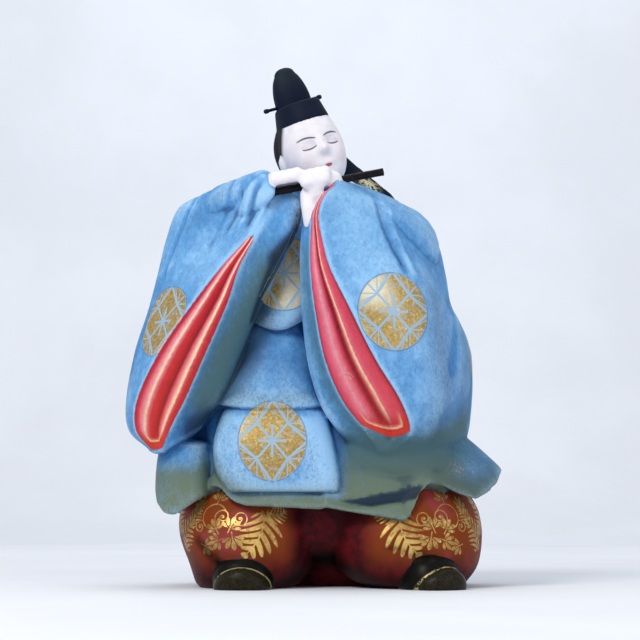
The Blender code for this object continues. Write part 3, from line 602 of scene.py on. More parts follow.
def head_place():
    """The turn and tilt of the head, as a matrix in metres."""
    turn = Matrix.Rotation(math.radians(HEAD_ROLL), 4, "Y")
    turn = turn @ Matrix.Rotation(math.radians(HEAD_TURN), 4, "Z")
    turn = turn @ Matrix.Rotation(math.radians(HEAD_NOD), 4, "X")
    return Matrix.Translation(Vector(HEAD_CENTRE) * MM) @ turn


def head_ovals(group, table, levels, below=0.0, above=0.0, bumps=()):
    """A shell over sections of the head, with bumps raised on its face."""
    rows = [(z, -half, half, front, back, square) for z, half, front, back, square in table]
    rings = shrunk_ends([oval(row, HEAD_SIDES) for row in curve_through(rows, levels)], below, above)
    for ring in rings:
        facing = np.clip(-ring[:, 1] / 8, 0, 1)
        for x, z, across, up, rise in bumps:
            near = np.exp(-(((ring[:, 0] - x) / across) ** 2) - ((ring[:, 2] - z) / up) ** 2)
            ring[:, 1] -= rise * near * facing
    return Shell(group, rings, head_place())


def tube(group, table, levels, rounded=True):
    """A limb along a path of x, y, height, half width and half height."""
    rows = curve_through(table, levels)
    path, half = rows[:, :3], rows[:, 3:5]
    along = np.gradient(path, axis=0)
    along /= np.linalg.norm(along, axis=1)[:, None]
    stations = list(zip(path, along, half))
    if rounded:
        for turned in (0.3, 0.55, 0.75, 0.9, 0.98):
            rest = math.sqrt(1 - turned * turned)
            reach = min(half[0]) * turned
            stations.insert(0, (path[0] - along[0] * reach, along[0], half[0] * rest))
            reach = min(half[-1]) * turned
            stations.append((path[-1] + along[-1] * reach, along[-1], half[-1] * rest))
    turn = np.linspace(0, 2 * math.pi, TUBE_SIDES, endpoint=False)
    across = np.cross(along[0], (0, 0, 1))
    if np.linalg.norm(across) < 0.3:
        across = np.array((1.0, 0, 0))
    rings = []
    for centre, direction, (wide, high) in stations:
        across = across - direction * (across @ direction)
        across /= np.linalg.norm(across)
        up = np.cross(across, direction)
        rings.append(centre + np.outer(np.cos(turn) * wide, across) + np.outer(np.sin(turn) * high, up))
    return Shell(group, rings)


def ball(group, centre, half, place=None, sides=28):
    """An egg shape of the given half sizes."""
    rings = []
    for degrees in np.linspace(-85, 85, 15):
        a = math.radians(degrees)
        row = (centre[2] + half[2] * math.sin(a), -half[0] * math.cos(a), half[0] * math.cos(a),
               -half[1] * math.cos(a), half[1] * math.cos(a), 2)
        ring = oval(row, sides)
        ring[:, :2] += centre[:2]
        rings.append(ring)
    return Shell(group, rings, place)


def mouth_points(outer, inner, profile, depth, steps):
    """Points from the outer edge of a sleeve's mouth to the inner one, over the folds of the lining."""
    outward = np.cross(outer - inner, (0, 0, 1))
    outward /= max(np.linalg.norm(outward), 1e-6)
    if outward[1] > 0:
        outward = -outward
    place = np.linspace(0, 1, steps)
    rows = curve_through(profile, 160)
    sunk = np.interp(place, rows[:, 0], rows[:, 1]) * depth
    return outer + np.outer(place, inner - outer) - np.outer(sunk, outward)


def mouth_depth(number, width):
    """How deep the lining lies at one level of a sleeve."""
    fade = min(1.0, number / (RAIL_LEVELS / 7), (RAIL_LEVELS - 1 - number) / (RAIL_LEVELS / 3.6))
    return min(LINING_DEPTH, width * LINING_DEPTH_SHARE) * math.sin(fade * math.pi / 2)


def sleeve(rails, profile, folds, below, above):
    """A hanging sleeve: a bag skinned over its rails, with the mouth's lining sunk between two of them."""
    order = [rail for rail in ("outer", "front", "side", "back", "inside", "inner") if rail in rails]
    levels = [curve_through(rails[rail], RAIL_LEVELS) for rail in order]
    rings = []
    for number, corners in enumerate(zip(*levels)):
        cloth = curve_through(corners, CLOTH_STEPS * (len(order) - 1) + 1)
        width = np.linalg.norm(corners[0] - corners[-1])
        mouth = mouth_points(corners[0], corners[-1], profile, mouth_depth(number, width), MOUTH_STEPS)
        rings.append(np.vstack([cloth, mouth[-2:0:-1]]))
    return Shell("robe", folded(shrunk_ends(rings, below, above), folds))


def mouth_patch(rails, profile):
    """The lining alone, as a grid of points by level and by place across."""
    outer = curve_through(rails["outer"], RAIL_LEVELS)
    inner = curve_through(rails["inner"], RAIL_LEVELS)
    return np.array([
        mouth_points(a, b, profile, mouth_depth(number, np.linalg.norm(a - b)), MOUTH_STEPS)
        for number, (a, b) in enumerate(zip(outer, inner))
    ])


def hemmed(low, high, before, behind, levels, above=0.0, folds=()):
    """A part of the robe whose lower edge rises and falls: its height is given by x, before and behind."""
    left, right, front, back, square = low
    middle, half = (left + right) / 2, (right - left) / 2
    x, y = superellipse(square, HEMMED_SIDES)
    around = list(zip(x, y))
    for table, side in ((before, -1), (behind, 1)):
        for key, _ in table:
            across = min(abs(key - middle) / half, 1)
            around.append((math.copysign(across, key - middle), side * (1 - across**square) ** (1 / square)))
    around.sort(key=lambda place: math.atan2(place[1], place[0]))
    spaced = [here for here, last in zip(around, around[-1:] + around) if math.dist(here, last) > 0.006]
    x, y = np.array(spaced).T
    edge = np.empty((len(x), 3))
    edge[:, 0] = middle + x * half
    edge[:, 1] = (front + back) / 2 + y * (back - front) / 2
    ahead = np.interp(edge[:, 0], *zip(*before))
    astern = np.interp(edge[:, 0], *zip(*behind))
    edge[:, 2] = np.where(y < 0, ahead, astern)
    height, left, right, front, back, square = high
    top = np.empty_like(edge)
    top[:, 0] = (left + right) / 2 + x * (right - left) / 2
    top[:, 1] = (front + back) / 2 + y * (back - front) / 2
    top[:, 2] = height
    rings = []
    for share, swell in curve_through(levels, 4 * len(levels)):
        ring = edge + (top - edge) * share
        outward = ring - ring.mean(axis=0)
        outward[:, 2] = 0
        outward /= np.linalg.norm(outward, axis=1)[:, None]
        rings.append(ring + outward * swell)
    return Shell("robe", folded(shrunk_ends(rings, 0, above), folds))


def shoe(x, y, half, reach, high, turn):
    """The toe of a shoe: a low dome, with a lower toe cap and its lip before it."""
    place = Matrix.Translation(Vector((x, y, 0)) * MM) @ Matrix.Rotation(math.radians(turn), 4, "Z")
    dome = (
        (0, -half, half, -reach * 0.72, 16, 2.3),
        (high * 0.35, -half, half, -reach * 0.72, 16, 2.3),
        (high * 0.7, -half * 0.86, half * 0.86, -reach * 0.6, 16, 2.3),
        (high * 0.92, -half * 0.55, half * 0.55, -reach * 0.35, 14, 2.2),
        (high, -half * 0.2, half * 0.2, -reach * 0.1, 10, 2.0),
    )
    toe = (
        (0, -half * 0.95, half * 0.95, -reach * 0.97, 8, 2.2),
        (high * 0.14, -half * 0.93, half * 0.93, -reach, 8, 2.2),
        (high * 0.32, -half * 0.84, half * 0.84, -reach * 0.99, 8, 2.2),
        (high * 0.47, -half * 0.66, half * 0.66, -reach * 0.94, 8, 2.2),
        (high * 0.56, -half * 0.44, half * 0.44, -reach * 0.86, 7, 2.2),
        (high * 0.6, -half * 0.2, half * 0.2, -reach * 0.74, 5, 2.2),
    )
    return [
        Shell(group, [oval(row, 48) for row in curve_through(table, 24)], place)
        for group, table in (("shoes", dome), ("toes", toe))
    ]


def fingers(places, row, slope):
    """Four fingers bent over the flute."""
    bottom = np.asarray(FLUTE_ENDS[0], float)
    run = np.asarray(FLUTE_ENDS[1], float) - bottom
    shells = []
    for x in places:
        level = bottom[2] + (x - bottom[0]) * run[2] / run[0]
        joints = enumerate(row)
        path = [(x + slope * step, y, level + rise, FINGER_HALF, FINGER_HALF) for step, (y, rise) in joints]
        shells.append(tube("skin", path, 14))
    return shells


def figure_shells():
    """Every shell of the clay figure."""
    shells = [
        ovals("robe", TORSO, 40, above=4, folds=FOLDS_TORSO),
        hemmed(*SKIRT, SKIRT_FRONT, SKIRT_BACK, SKIRT_LEVELS, folds=SKIRT_FOLDS),
        ovals("robe", APRON, 24),
        ovals("robe", BELLY, 24, bend=3),
        ovals("robe", CHEST, 24, bend=9),
        ovals("robe", COLLAR, 8),
        ovals("trousers", LEG_LEFT, 36, folds=FOLDS_LEG_LEFT),
        ovals("trousers", LEG_RIGHT, 36, folds=FOLDS_LEG_RIGHT),
        ovals("trousers", LEG_WEB, 16),
        hemmed(*FLAP_LEFT, FLAP_LEFT_EDGE, FLAP_LEFT_EDGE, FLAP_LEVELS, above=4),
        hemmed(*FLAP_RIGHT, FLAP_RIGHT_EDGE, FLAP_RIGHT_EDGE, FLAP_LEVELS, above=2),
        sleeve(SLEEVE_LEFT, LINING_LEFT, FOLDS_SLEEVE_LEFT, below=4, above=4),
        sleeve(SLEEVE_RIGHT, LINING_RIGHT, FOLDS_SLEEVE_RIGHT, below=4, above=3),
        tube("robe", ARM_LEFT, 24),
        tube("robe", ARM_RIGHT, 24),
        tube("skin", NECK, 10),
        tube("ribbon", RIBBON, 40),
        tube("skin", PALM_LEFT, 14),
        tube("skin", PALM_RIGHT, 24),
        tube("skin", WRIST_RIGHT, 16),
        tube("skin", HEEL_RIGHT, 12),
        tube("robe", CUFF_LEFT, 20),
        tube("robe", LAP, 24),
        head_ovals("skin", HEAD, 48, below=1.5, above=5, bumps=FACE),
        head_ovals("hair", HAIR, 24),
        head_ovals("cap", CAP_BAND, 16),
        head_ovals("cap", CAP_DOME, 24, above=3.5),
    ]
    shells += fingers(FINGERS_LEFT, FINGER_LEFT, 0.2)
    shells += fingers(FINGERS_RIGHT, FINGER_RIGHT, -0.3)
    for centre in EARS:
        shells.append(ball("skin", centre, EAR_SIZE, head_place()))
    for sizes in SHOES.values():
        shells += shoe(*sizes)
    return shells


def clay_mesh(shells, voxel):
    """All shells fused into one skin, as points and quads."""
    points = []
    faces = []
    start = 0
    for shell in shells:
        points.append(shell.points)
        faces += (shell.quads + start).tolist()
        faces += (shell.fans + start).tolist()
        start += len(shell.points)
    data = bpy.data.meshes.new("shells")
    data.from_pydata((np.vstack(points) * MM).tolist(), [], faces)
    rough = bpy.data.objects.new("shells", data)
    bpy.context.scene.collection.objects.link(rough)
    fuse = rough.modifiers.new("fuse", "REMESH")
    fuse.mode = "VOXEL"
    fuse.voxel_size = voxel * MM
    graph = bpy.context.evaluated_depsgraph_get()
    fused = bpy.data.meshes.new_from_object(rough.evaluated_get(graph))
    bpy.data.objects.remove(rough)
    bpy.data.meshes.remove(data)
    return fused


def points_of(data):
    """The vertices of a mesh, in millimetres."""
    flat = np.empty(len(data.vertices) * 3, np.float32)
    data.vertices.foreach_get("co", flat)
    return flat.reshape(-1, 3).astype(float) / MM


def set_points(data, points):
    data.vertices.foreach_set("co", (points * MM).astype(np.float32).ravel())
    data.update()


def edges_of(data):
    flat = np.empty(len(data.edges) * 2, np.int32)
    data.edges.foreach_get("vertices", flat)
    return flat.reshape(-1, 2)


def normals_of(data):
    flat = np.empty(len(data.vertices) * 3, np.float32)
    data.vertex_normals.foreach_get("vector", flat)
    return flat.reshape(-1, 3).astype(float)


def neighbour_mean(values, edges, count):
    """For each vertex, the mean of the values at its neighbours."""
    a, b = edges.T
    total = np.empty_like(values)
    for column in range(values.shape[1]):
        total[:, column] = np.bincount(a, values[b, column], count) + np.bincount(b, values[a, column], count)
    return total / np.maximum(np.bincount(edges.ravel(), minlength=count), 1)[:, None]


def softened(points, edges, rounds, amount):
    """The points smoothed without shrinking: each round relaxes them, then pushes them back a little less."""
    for _ in range(rounds):
        for step in (0.5, -0.51):
            mean = neighbour_mean(points, edges, len(points))
            points = points + (mean - points) * (step * amount)[:, None]
    return points


def distance_to_shells(points, shells, reach):
    """How far each point is from the nearest of the shells, up to the reach."""
    far = np.full(len(points), reach)
    for shell in shells:
        near = points_near(points, shell.points, reach)
        tree = BVHTree.FromPolygons(shell.points.tolist(), shell.triangles().tolist())
        for i in np.flatnonzero(near):
            found = tree.find_nearest(points[i], far[i])
            if found[0] is not None:
                far[i] = found[3]
    return far


def group_values(points, shells):
    """For each paint group, how much nearer a point is to it than to every other group, in millimetres."""
    names = sorted({shell.group for shell in shells})
    away = {
        name: distance_to_shells(points, [shell for shell in shells if shell.group == name], GROUP_REACH)
        for name in names
    }
    values = {}
    for name in names:
        others = np.min([away[other] for other in names if other != name], axis=0)
        values[name] = others - away[name]
    return values


def mouth_values(points, patch):
    """Where each point lies on a sleeve's lining: inside (positive) or outside its edge in millimetres, and the
    places across and along it."""
    levels, across = patch.shape[:2]
    grid = np.arange(levels * across).reshape(levels, across)
    quads = np.stack([grid[:-1, :-1], grid[:-1, 1:], grid[1:, 1:], grid[1:, :-1]], axis=-1).reshape(-1, 4)
    corners = patch.reshape(-1, 3)
    tree = BVHTree.FromPolygons(corners.tolist(), quads.tolist())
    low, high = corners.min(axis=0) - GROUP_REACH, corners.max(axis=0) + GROUP_REACH
    inside = np.full(len(points), -GROUP_REACH)
    place_across = np.zeros(len(points))
    place_along = np.zeros(len(points))
    widths = np.linalg.norm(patch[:, 0] - patch[:, -1], axis=1)
    for i in np.flatnonzero(np.all((points > low) & (points < high), axis=1)):
        found = tree.find_nearest(points[i], GROUP_REACH)
        if found[0] is None:
            continue
        where, _, face, gap = found
        level, column = divmod(face, across - 1)
        a, b, _, d = (corners[corner] for corner in quads[face])
        run, rise = b - a, d - a
        spot = np.array(where) - a
        u = (column + np.clip(spot @ run / max(run @ run, 1e-9), 0, 1)) / (across - 1)
        v = (level + np.clip(spot @ rise / max(rise @ rise, 1e-9), 0, 1)) / (levels - 1)
        edge = min(u, 1 - u) * np.interp(v * (levels - 1), np.arange(levels), widths)
        ends = min(v * (levels - 1), (levels - 1) - v * (levels - 1)) * abs(d[2] - a[2])
        inside[i] = min(edge, ends) - gap
        place_across[i] = u
        place_along[i] = v
    return inside, place_across, place_along


def rims_rounded(points, edges, normals, rounds):
    """The points with the sharpest rims relaxed, as paint fills and hands wear them."""
    sharp = np.clip((ridge_values(points, edges, normals, 6) - RIM_FROM) / RIM_OVER, 0, 1)[:, None]
    for _ in range(rounds):
        points = points + (neighbour_mean(points, edges, len(points)) - points) * (0.6 * sharp)
    return points


def smeared(points, edges, strokes):
    """The points relaxed along strokes of a wet finger, which fill a crease: path, spread and rounds."""
    points = points.copy()
    for path, spread, rounds in strokes:
        path = curve_through(path, 6 * len(path))
        near = points_near(points, path, 2.2 * spread)
        here = np.flatnonzero(near)
        number = np.full(len(points), -1)
        number[here] = np.arange(len(here))
        joined = number[edges[near[edges].all(axis=1)]]
        amount = 0.6 * np.exp(-((distance_to_path(points[here], path) / spread) ** 2))[:, None]
        for _ in range(rounds):
            points[here] += (neighbour_mean(points[here], joined, len(here)) - points[here]) * amount
    return points


def points_near(points, path, reach):
    """Which points lie in the box round a path."""
    return np.all((points > path.min(axis=0) - reach) & (points < path.max(axis=0) + reach), axis=1)


def strokes_pressed(points, normals, strokes):
    """The points moved along their normals by strokes of a modelling tool: path, spread and rise."""
    moved = np.zeros(len(points))
    for path, spread, rise in strokes:
        path = curve_through(path, 6 * len(path))
        near = points_near(points, path, 3 * spread + STROKE_LIFT)
        if not near.any():
            continue
        clay = points[near]
        path = np.array([clay[np.argmin(np.linalg.norm(clay - place, axis=1))] for place in path])
        near = points_near(points, path, 3 * spread)
        away = distance_to_path(points[near], path)
        ends = np.minimum(
            np.linalg.norm(points[near] - path[0], axis=1),
            np.linalg.norm(points[near] - path[-1], axis=1),
        )
        fade = np.clip(ends / (2 * spread), 0, 1) ** 0.7
        moved[near] += rise * np.exp(-((away / spread) ** 2)) * (0.25 + 0.75 * fade)
    return points + normals * moved[:, None]


def with_values(data, values):
    """The mesh with one value, or one place, for each vertex under each name."""
    for name, numbers in values.items():
        numbers = np.asarray(numbers, np.float32)
        kind, key = ("FLOAT", "value") if numbers.ndim == 1 else ("FLOAT_VECTOR", "vector")
        layer = data.attributes.new(name, kind, "POINT")
        layer.data.foreach_set(key, numbers.ravel())
    return data


def thinned(data, most):
    """The mesh with its flatter triangles merged, down to the most that it may have."""
    data.calc_loop_triangles()
    rough = bpy.data.objects.new("thick", data)
    bpy.context.scene.collection.objects.link(rough)
    thin = rough.modifiers.new("thin", "DECIMATE")
    thin.ratio = min(1.0, most / len(data.loop_triangles))
    thin.use_collapse_triangulate = True
    graph = bpy.context.evaluated_depsgraph_get()
    made = bpy.data.meshes.new_from_object(rough.evaluated_get(graph))
    bpy.data.objects.remove(rough)
    bpy.data.meshes.remove(data)
    return made


class Ink:
    """Short ways to add and join the nodes of one material or node group."""

    def __init__(self, tree):
        self.tree = tree

    def node(self, kind, **settings):
        made = self.tree.nodes.new(kind)
        for name, value in settings.items():
            setattr(made, name, value)
        return made

    def feed(self, socket, value):
        """Joins another node's output to a socket, or sets the socket's own number, colour or vector."""
        if isinstance(value, bpy.types.NodeSocket):
            self.tree.links.new(value, socket)
        elif value is not None:
            is_colour = socket.type == "RGBA" and len(value) == 3
            socket.default_value = (*value, 1) if is_colour else value

    def math(self, operation, *values, clamp=False):
        made = self.node("ShaderNodeMath", operation=operation, use_clamp=clamp)
        for socket, value in zip(made.inputs, values):
            self.feed(socket, value)
        return made.outputs[0]

    def add(self, a, b):
        return self.math("ADD", a, b)

    def times(self, a, b):
        return self.math("MULTIPLY", a, b)

    def both(self, a, b):
        return self.math("MINIMUM", a, b)

    def either(self, *values):
        found = values[0]
        for value in values[1:]:
            found = self.math("MAXIMUM", found, value)
        return found

    def less(self, a, b):
        return self.math("SUBTRACT", a, b)

    def over(self, a, b):
        return self.math("DIVIDE", a, b)

    def size(self, a):
        return self.math("ABSOLUTE", a)

    def without(self, a):
        return self.math("SUBTRACT", 1.0, a, clamp=True)

    def band(self, value, low, high, smooth=True):
        """0 below the low value, 1 above the high one. With low above high it falls instead."""
        kind = "SMOOTHSTEP" if smooth else "LINEAR"
        made = self.node("ShaderNodeMapRange", interpolation_type=kind)
        rising = low < high
        for name, number in (("From Min", min(low, high)), ("From Max", max(low, high)),
                             ("To Min", 0.0 if rising else 1.0), ("To Max", 1.0 if rising else 0.0)):
            made.inputs[name].default_value = number
        self.feed(made.inputs["Value"], value)
        return made.outputs["Result"]

    def under(self, value, edge, soft):
        """1 where the value is below the edge, which may be another output."""
        return self.band(self.math("SUBTRACT", value, edge), soft, -soft)

    def mix(self, factor, a, b, blend="MIX"):
        made = self.node("ShaderNodeMix", data_type="RGBA", blend_type=blend)
        self.feed(made.inputs[0], factor)
        self.feed(made.inputs[6], a)
        self.feed(made.inputs[7], b)
        return made.outputs[2]

    def blend(self, factor, a, b):
        made = self.node("ShaderNodeMix", data_type="FLOAT")
        self.feed(made.inputs[0], factor)
        self.feed(made.inputs[2], a)
        self.feed(made.inputs[3], b)
        return made.outputs[0]

    def noise(self, vector, scale, detail=3.0, rough=0.55, twist=0.0):
        made = self.node("ShaderNodeTexNoise")
        self.feed(made.inputs["Vector"], vector)
        made.inputs["Scale"].default_value = scale
        made.inputs["Detail"].default_value = detail
        made.inputs["Roughness"].default_value = rough
        made.inputs["Distortion"].default_value = twist
        return made.outputs["Fac"]

    def mapped(self, vector, place=(0, 0, 0), turn=(0, 0, 0), size=(1, 1, 1)):
        """The vector seen from a place that is moved, turned and sized."""
        made = self.node("ShaderNodeMapping", vector_type="TEXTURE")
        self.feed(made.inputs["Vector"], vector)
        made.inputs["Location"].default_value = place
        made.inputs["Rotation"].default_value = turn
        made.inputs["Scale"].default_value = size
        return made.outputs["Vector"]

    def parts(self, vector):
        made = self.node("ShaderNodeSeparateXYZ")
        self.feed(made.inputs[0], vector)
        return made.outputs[0], made.outputs[1], made.outputs[2]

    def joined(self, x, y, z):
        made = self.node("ShaderNodeCombineXYZ")
        for socket, value in zip(made.inputs, (x, y, z)):
            self.feed(socket, value)
        return made.outputs[0]

    def value(self, name, output="Fac"):
        """A value painted on the mesh, or a place with the output Vector."""
        return self.node("ShaderNodeAttribute", attribute_name=name).outputs[output]

    def place(self):
        return self.node("ShaderNodeTexCoord").outputs["Object"]

    def ramp(self, value, stops, smooth=True):
        made = self.node("ShaderNodeValToRGB")
        made.color_ramp.interpolation = "EASE" if smooth else "LINEAR"
        elements = made.color_ramp.elements
        while len(elements) < len(stops):
            elements.new(0.5)
        for element, (where, tone) in zip(elements, stops):
            element.position = where
            element.color = (*colour(tone), 1)
        self.feed(made.inputs[0], value)
        return made.outputs["Color"]

    def group(self, tree, **values):
        made = self.node("ShaderNodeGroup", node_tree=tree)
        for name, value in values.items():
            self.feed(made.inputs[name.replace("_", " ").capitalize()], value)
        return made.outputs

    def bump(self, heights, normal=None):
        """A bump for each (height, distance in metres, strength), one over the other."""
        for height, distance, strength in heights:
            made = self.node("ShaderNodeBump")
            made.inputs["Strength"].default_value = strength
            made.inputs["Distance"].default_value = distance
            self.feed(made.inputs["Height"], height)
            self.feed(made.inputs["Normal"], normal)
            normal = made.outputs["Normal"]
        return normal


def colour(hexed):
    """A colour as the eye reads it, six hexadecimal digits, in the renderer's linear light."""
    made = []
    for i in (0, 2, 4):
        c = int(hexed[i:i + 2], 16) / 255
        made.append(c / 12.92 if c <= 0.04045 else ((c + 0.055) / 1.055) ** 2.4)
    return tuple(made)


def group_tree(name, inputs, outputs):
    """A new node group with float or vector inputs, ready to be drawn in."""
    tree = bpy.data.node_groups.new(name, "ShaderNodeTree")
    for title, kind, default in inputs:
        socket = tree.interface.new_socket(title, in_out="INPUT", socket_type=kind)
        if default is not None:
            socket.default_value = default
    for title, kind in outputs:
        tree.interface.new_socket(title, in_out="OUTPUT", socket_type=kind)
    ink = Ink(tree)
    return ink, ink.node("NodeGroupInput").outputs, ink.node("NodeGroupOutput").inputs


FLOAT, VECTOR, COLOUR = "NodeSocketFloat", "NodeSocketVector", "NodeSocketColor"


def fresh_material(name, roughness, metallic=0.0, specular=0.4):
    """A material with one principled shader, and the ink to draw its nodes."""
    made = bpy.data.materials.new(name)
    made.use_nodes = True
    shader = made.node_tree.nodes["Principled BSDF"]
    shader.inputs["Roughness"].default_value = roughness
    shader.inputs["Metallic"].default_value = metallic
    shader.inputs["Specular IOR Level"].default_value = specular
    return made, Ink(made.node_tree), shader


def roundel_tree():
    """A crest in a disc of radius 1: four lozenges round an eight-rayed star, with leaves between."""
    masks = [("Gold", FLOAT), ("Disc", FLOAT), ("Rim", FLOAT)]
    ink, taken, given = group_tree("roundel", [("Vector", VECTOR, None)], masks)
    x, y, z = ink.parts(taken["Vector"])
    across = ink.size(x)
    up = ink.size(z)
    far = ink.math("MAXIMUM", across, up)
    near = ink.math("MINIMUM", across, up)
    radius = ink.math("SQRT", ink.add(ink.times(x, x), ink.times(z, z)))
    shallow = ink.under(ink.size(y), 1.0, 0.1)
    disc = ink.both(ink.under(radius, 0.97, 0.012), shallow)
    to_side = ink.times(ink.less(far, near), 0.71)
    to_edge = ink.times(ink.less(ink.times(ink.less(1.0, far), 0.77), near), 0.79)
    lozenge = ink.both(to_side, to_edge)
    ray = ink.both(ink.under(near, 0.032, 0.012), ink.under(radius, 0.40, 0.015))
    lozenge = ink.both(ink.band(lozenge, 0.02, 0.04), ink.without(ray))
    out = ink.less(ink.times(ink.add(far, near), 0.707), 0.615)
    veins = [ink.size(ink.less(to_side, ink.times(out, lean))) for lean in (0.0, 1.05, 3.2)]
    vein = ink.both(ink.both(veins[0], veins[1]), ink.times(veins[2], 0.5))
    leaves = ink.both(ink.band(to_edge, -0.025, -0.045), ink.band(vein, 0.014, 0.03))
    leaves = ink.both(leaves, ink.under(radius, 0.95, 0.012))
    ink.feed(given["Gold"], ink.both(disc, ink.either(lozenge, leaves)))
    ink.feed(given["Disc"], disc)
    ring = ink.both(ink.under(0.955, radius, 0.012), ink.under(radius, 0.99, 0.012))
    ink.feed(given["Rim"], ink.both(ring, shallow))
    return ink.tree


def spot_inputs():
    numbers = (("X", 0.0), ("Z", 0.0), ("Turn", 0.0), ("Size", 5.0))
    return [("Vector", VECTOR, None)] + [(name, FLOAT, number) for name, number in numbers]


def spot_polar(ink, taken):
    """Distance and direction of the point from a motif's place, the direction from -pi to pi off its turn."""
    x, _, z = ink.parts(taken["Vector"])
    x = ink.less(x, taken["X"])
    z = ink.less(z, taken["Z"])
    c, s = ink.math("COSINE", taken["Turn"]), ink.math("SINE", taken["Turn"])
    along = ink.add(ink.times(x, c), ink.times(z, s))
    side = ink.less(ink.times(z, c), ink.times(x, s))
    return along, side


def fan_tree():
    """A leaf of five lobes spread like a fan from its stalk."""
    ink, taken, given = group_tree("leaf_fan", spot_inputs(), [("Mask", FLOAT)])
    along, side = spot_polar(ink, taken)
    radius = ink.math("SQRT", ink.add(ink.times(along, along), ink.times(side, side)))
    turn = ink.math("ARCTAN2", side, along)
    spread = ink.over(turn, math.radians(88))
    cell = ink.size(ink.less(ink.math("FRACT", ink.add(ink.times(spread, 2.5), 2.5)), 0.5))
    reach = ink.times(taken["Size"], ink.less(1.0, ink.times(ink.times(spread, spread), 0.35)))
    share = ink.over(radius, reach)
    swell = ink.math("SINE", ink.times(ink.band(share, 0.16, 1.0, smooth=False), math.pi))
    swell = ink.math("POWER", ink.math("MAXIMUM", swell, 0.0), 0.6)
    lobe = ink.under(cell, ink.times(swell, 0.4), 0.05)
    inside = ink.both(ink.under(ink.size(spread), 1.0, 0.02), ink.under(share, 1.0, 0.03))
    stalk = ink.under(ink.size(along), ink.times(taken["Size"], 0.35), 0.2)
    stalk = ink.both(ink.under(ink.size(side), 0.3, 0.1), stalk)
    ink.feed(given["Mask"], ink.either(ink.both(lobe, inside), stalk))
    return ink.tree


def frond_tree():
    """A curved stem with slanting leaflets on both sides, which bends round a circle of twice its size."""
    ink, taken, given = group_tree("frond", spot_inputs() + [("Bend", FLOAT, 1.0)], [("Mask", FLOAT)])
    along, side = spot_polar(ink, taken)
    side = ink.times(side, taken["Bend"])
    size = taken["Size"]
    ring = ink.times(size, 1.1)
    down = ink.less(ring, side)
    radius = ink.math("SQRT", ink.add(ink.times(along, along), ink.times(down, down)))
    path = ink.times(ink.math("ARCTAN2", along, down), ring)
    off = ink.less(ring, radius)
    wide = ink.size(off)
    share = ink.over(path, size)
    inside = ink.both(ink.under(0.0, share, 0.01), ink.under(share, 1.0, 0.01))
    swell = ink.math("SINE", ink.times(ink.band(share, -0.15, 1.05, smooth=False), math.pi))
    reach = ink.times(ink.times(size, 0.4), ink.math("MAXIMUM", swell, 0.0))
    pitch = ink.times(size, 0.17)
    step = ink.over(ink.less(path, ink.times(wide, 0.75)), pitch)
    cell = ink.size(ink.less(ink.math("FRACT", ink.add(step, 8.0)), 0.5))
    tip = ink.over(wide, ink.math("MAXIMUM", reach, 0.01))
    fat = ink.times(ink.math("SQRT", ink.math("MAXIMUM", ink.less(1.0, ink.times(tip, tip)), 0.0)), 0.34)
    leaflet = ink.both(ink.under(cell, fat, 0.06), ink.under(tip, 1.0, 0.04))
    stem = ink.under(wide, 0.34, 0.1)
    ink.feed(given["Mask"], ink.both(inside, ink.either(leaflet, stem)))
    return ink.tree


def curl_tree():
    """A tendril that rolls up in a spiral."""
    ink, taken, given = group_tree("curl", spot_inputs() + [("Bend", FLOAT, 1.0)], [("Mask", FLOAT)])
    along, side = spot_polar(ink, taken)
    side = ink.times(side, taken["Bend"])
    radius = ink.math("SQRT", ink.add(ink.times(along, along), ink.times(side, side)))
    turn = ink.over(ink.math("ARCTAN2", side, along), 2 * math.pi)
    pitch = ink.times(taken["Size"], 0.62)
    step = ink.less(ink.over(radius, pitch), turn)
    cell = ink.size(ink.less(ink.math("FRACT", ink.add(step, 4.0)), 0.5))
    line = ink.under(ink.times(cell, pitch), 0.3, 0.1)
    bead = ink.under(radius, ink.times(taken["Size"], 0.2), 0.1)
    ink.feed(given["Mask"], ink.either(ink.both(line, ink.under(radius, taken["Size"], 0.1)), bead))
    return ink.tree


def bow_tree():
    """A thin vine that runs along an arc of the given half angle."""
    ink, taken, given = group_tree("bow", spot_inputs() + [("Half angle", FLOAT, 1.0)], [("Mask", FLOAT)])
    along, side = spot_polar(ink, taken)
    radius = ink.math("SQRT", ink.add(ink.times(along, along), ink.times(side, side)))
    turn = ink.size(ink.math("ARCTAN2", side, along))
    line = ink.under(ink.size(ink.less(radius, taken["Size"])), 0.3, 0.1)
    ink.feed(given["Mask"], ink.both(line, ink.under(turn, taken["Half angle"], 0.02)))
    return ink.tree


def stroke_tree():
    """A brush stroke that arches between two ends and thins towards them."""
    ink, taken, given = group_tree(
        "brush_stroke",
        spot_inputs() + [("Rise", FLOAT, 1.0), ("Thick", FLOAT, 0.4), ("Soft", FLOAT, 0.2)],
        [("Mask", FLOAT)],
    )
    along, side = spot_polar(ink, taken)
    share = ink.over(along, taken["Size"])
    room = ink.math("MAXIMUM", ink.less(1.0, ink.times(share, share)), 0.0)
    off = ink.size(ink.less(side, ink.times(taken["Rise"], room)))
    thick = ink.times(taken["Thick"], ink.math("SQRT", room))
    made = ink.node("ShaderNodeMapRange", interpolation_type="SMOOTHSTEP")
    ink.feed(made.inputs["Value"], off)
    ink.feed(made.inputs["From Min"], thick)
    ink.feed(made.inputs["From Max"], ink.add(thick, taken["Soft"]))
    made.inputs["To Min"].default_value = 1.0
    made.inputs["To Max"].default_value = 0.0
    ink.feed(given["Mask"], ink.both(made.outputs["Result"], ink.under(ink.size(share), 1.0, 0.02)))
    return ink.tree
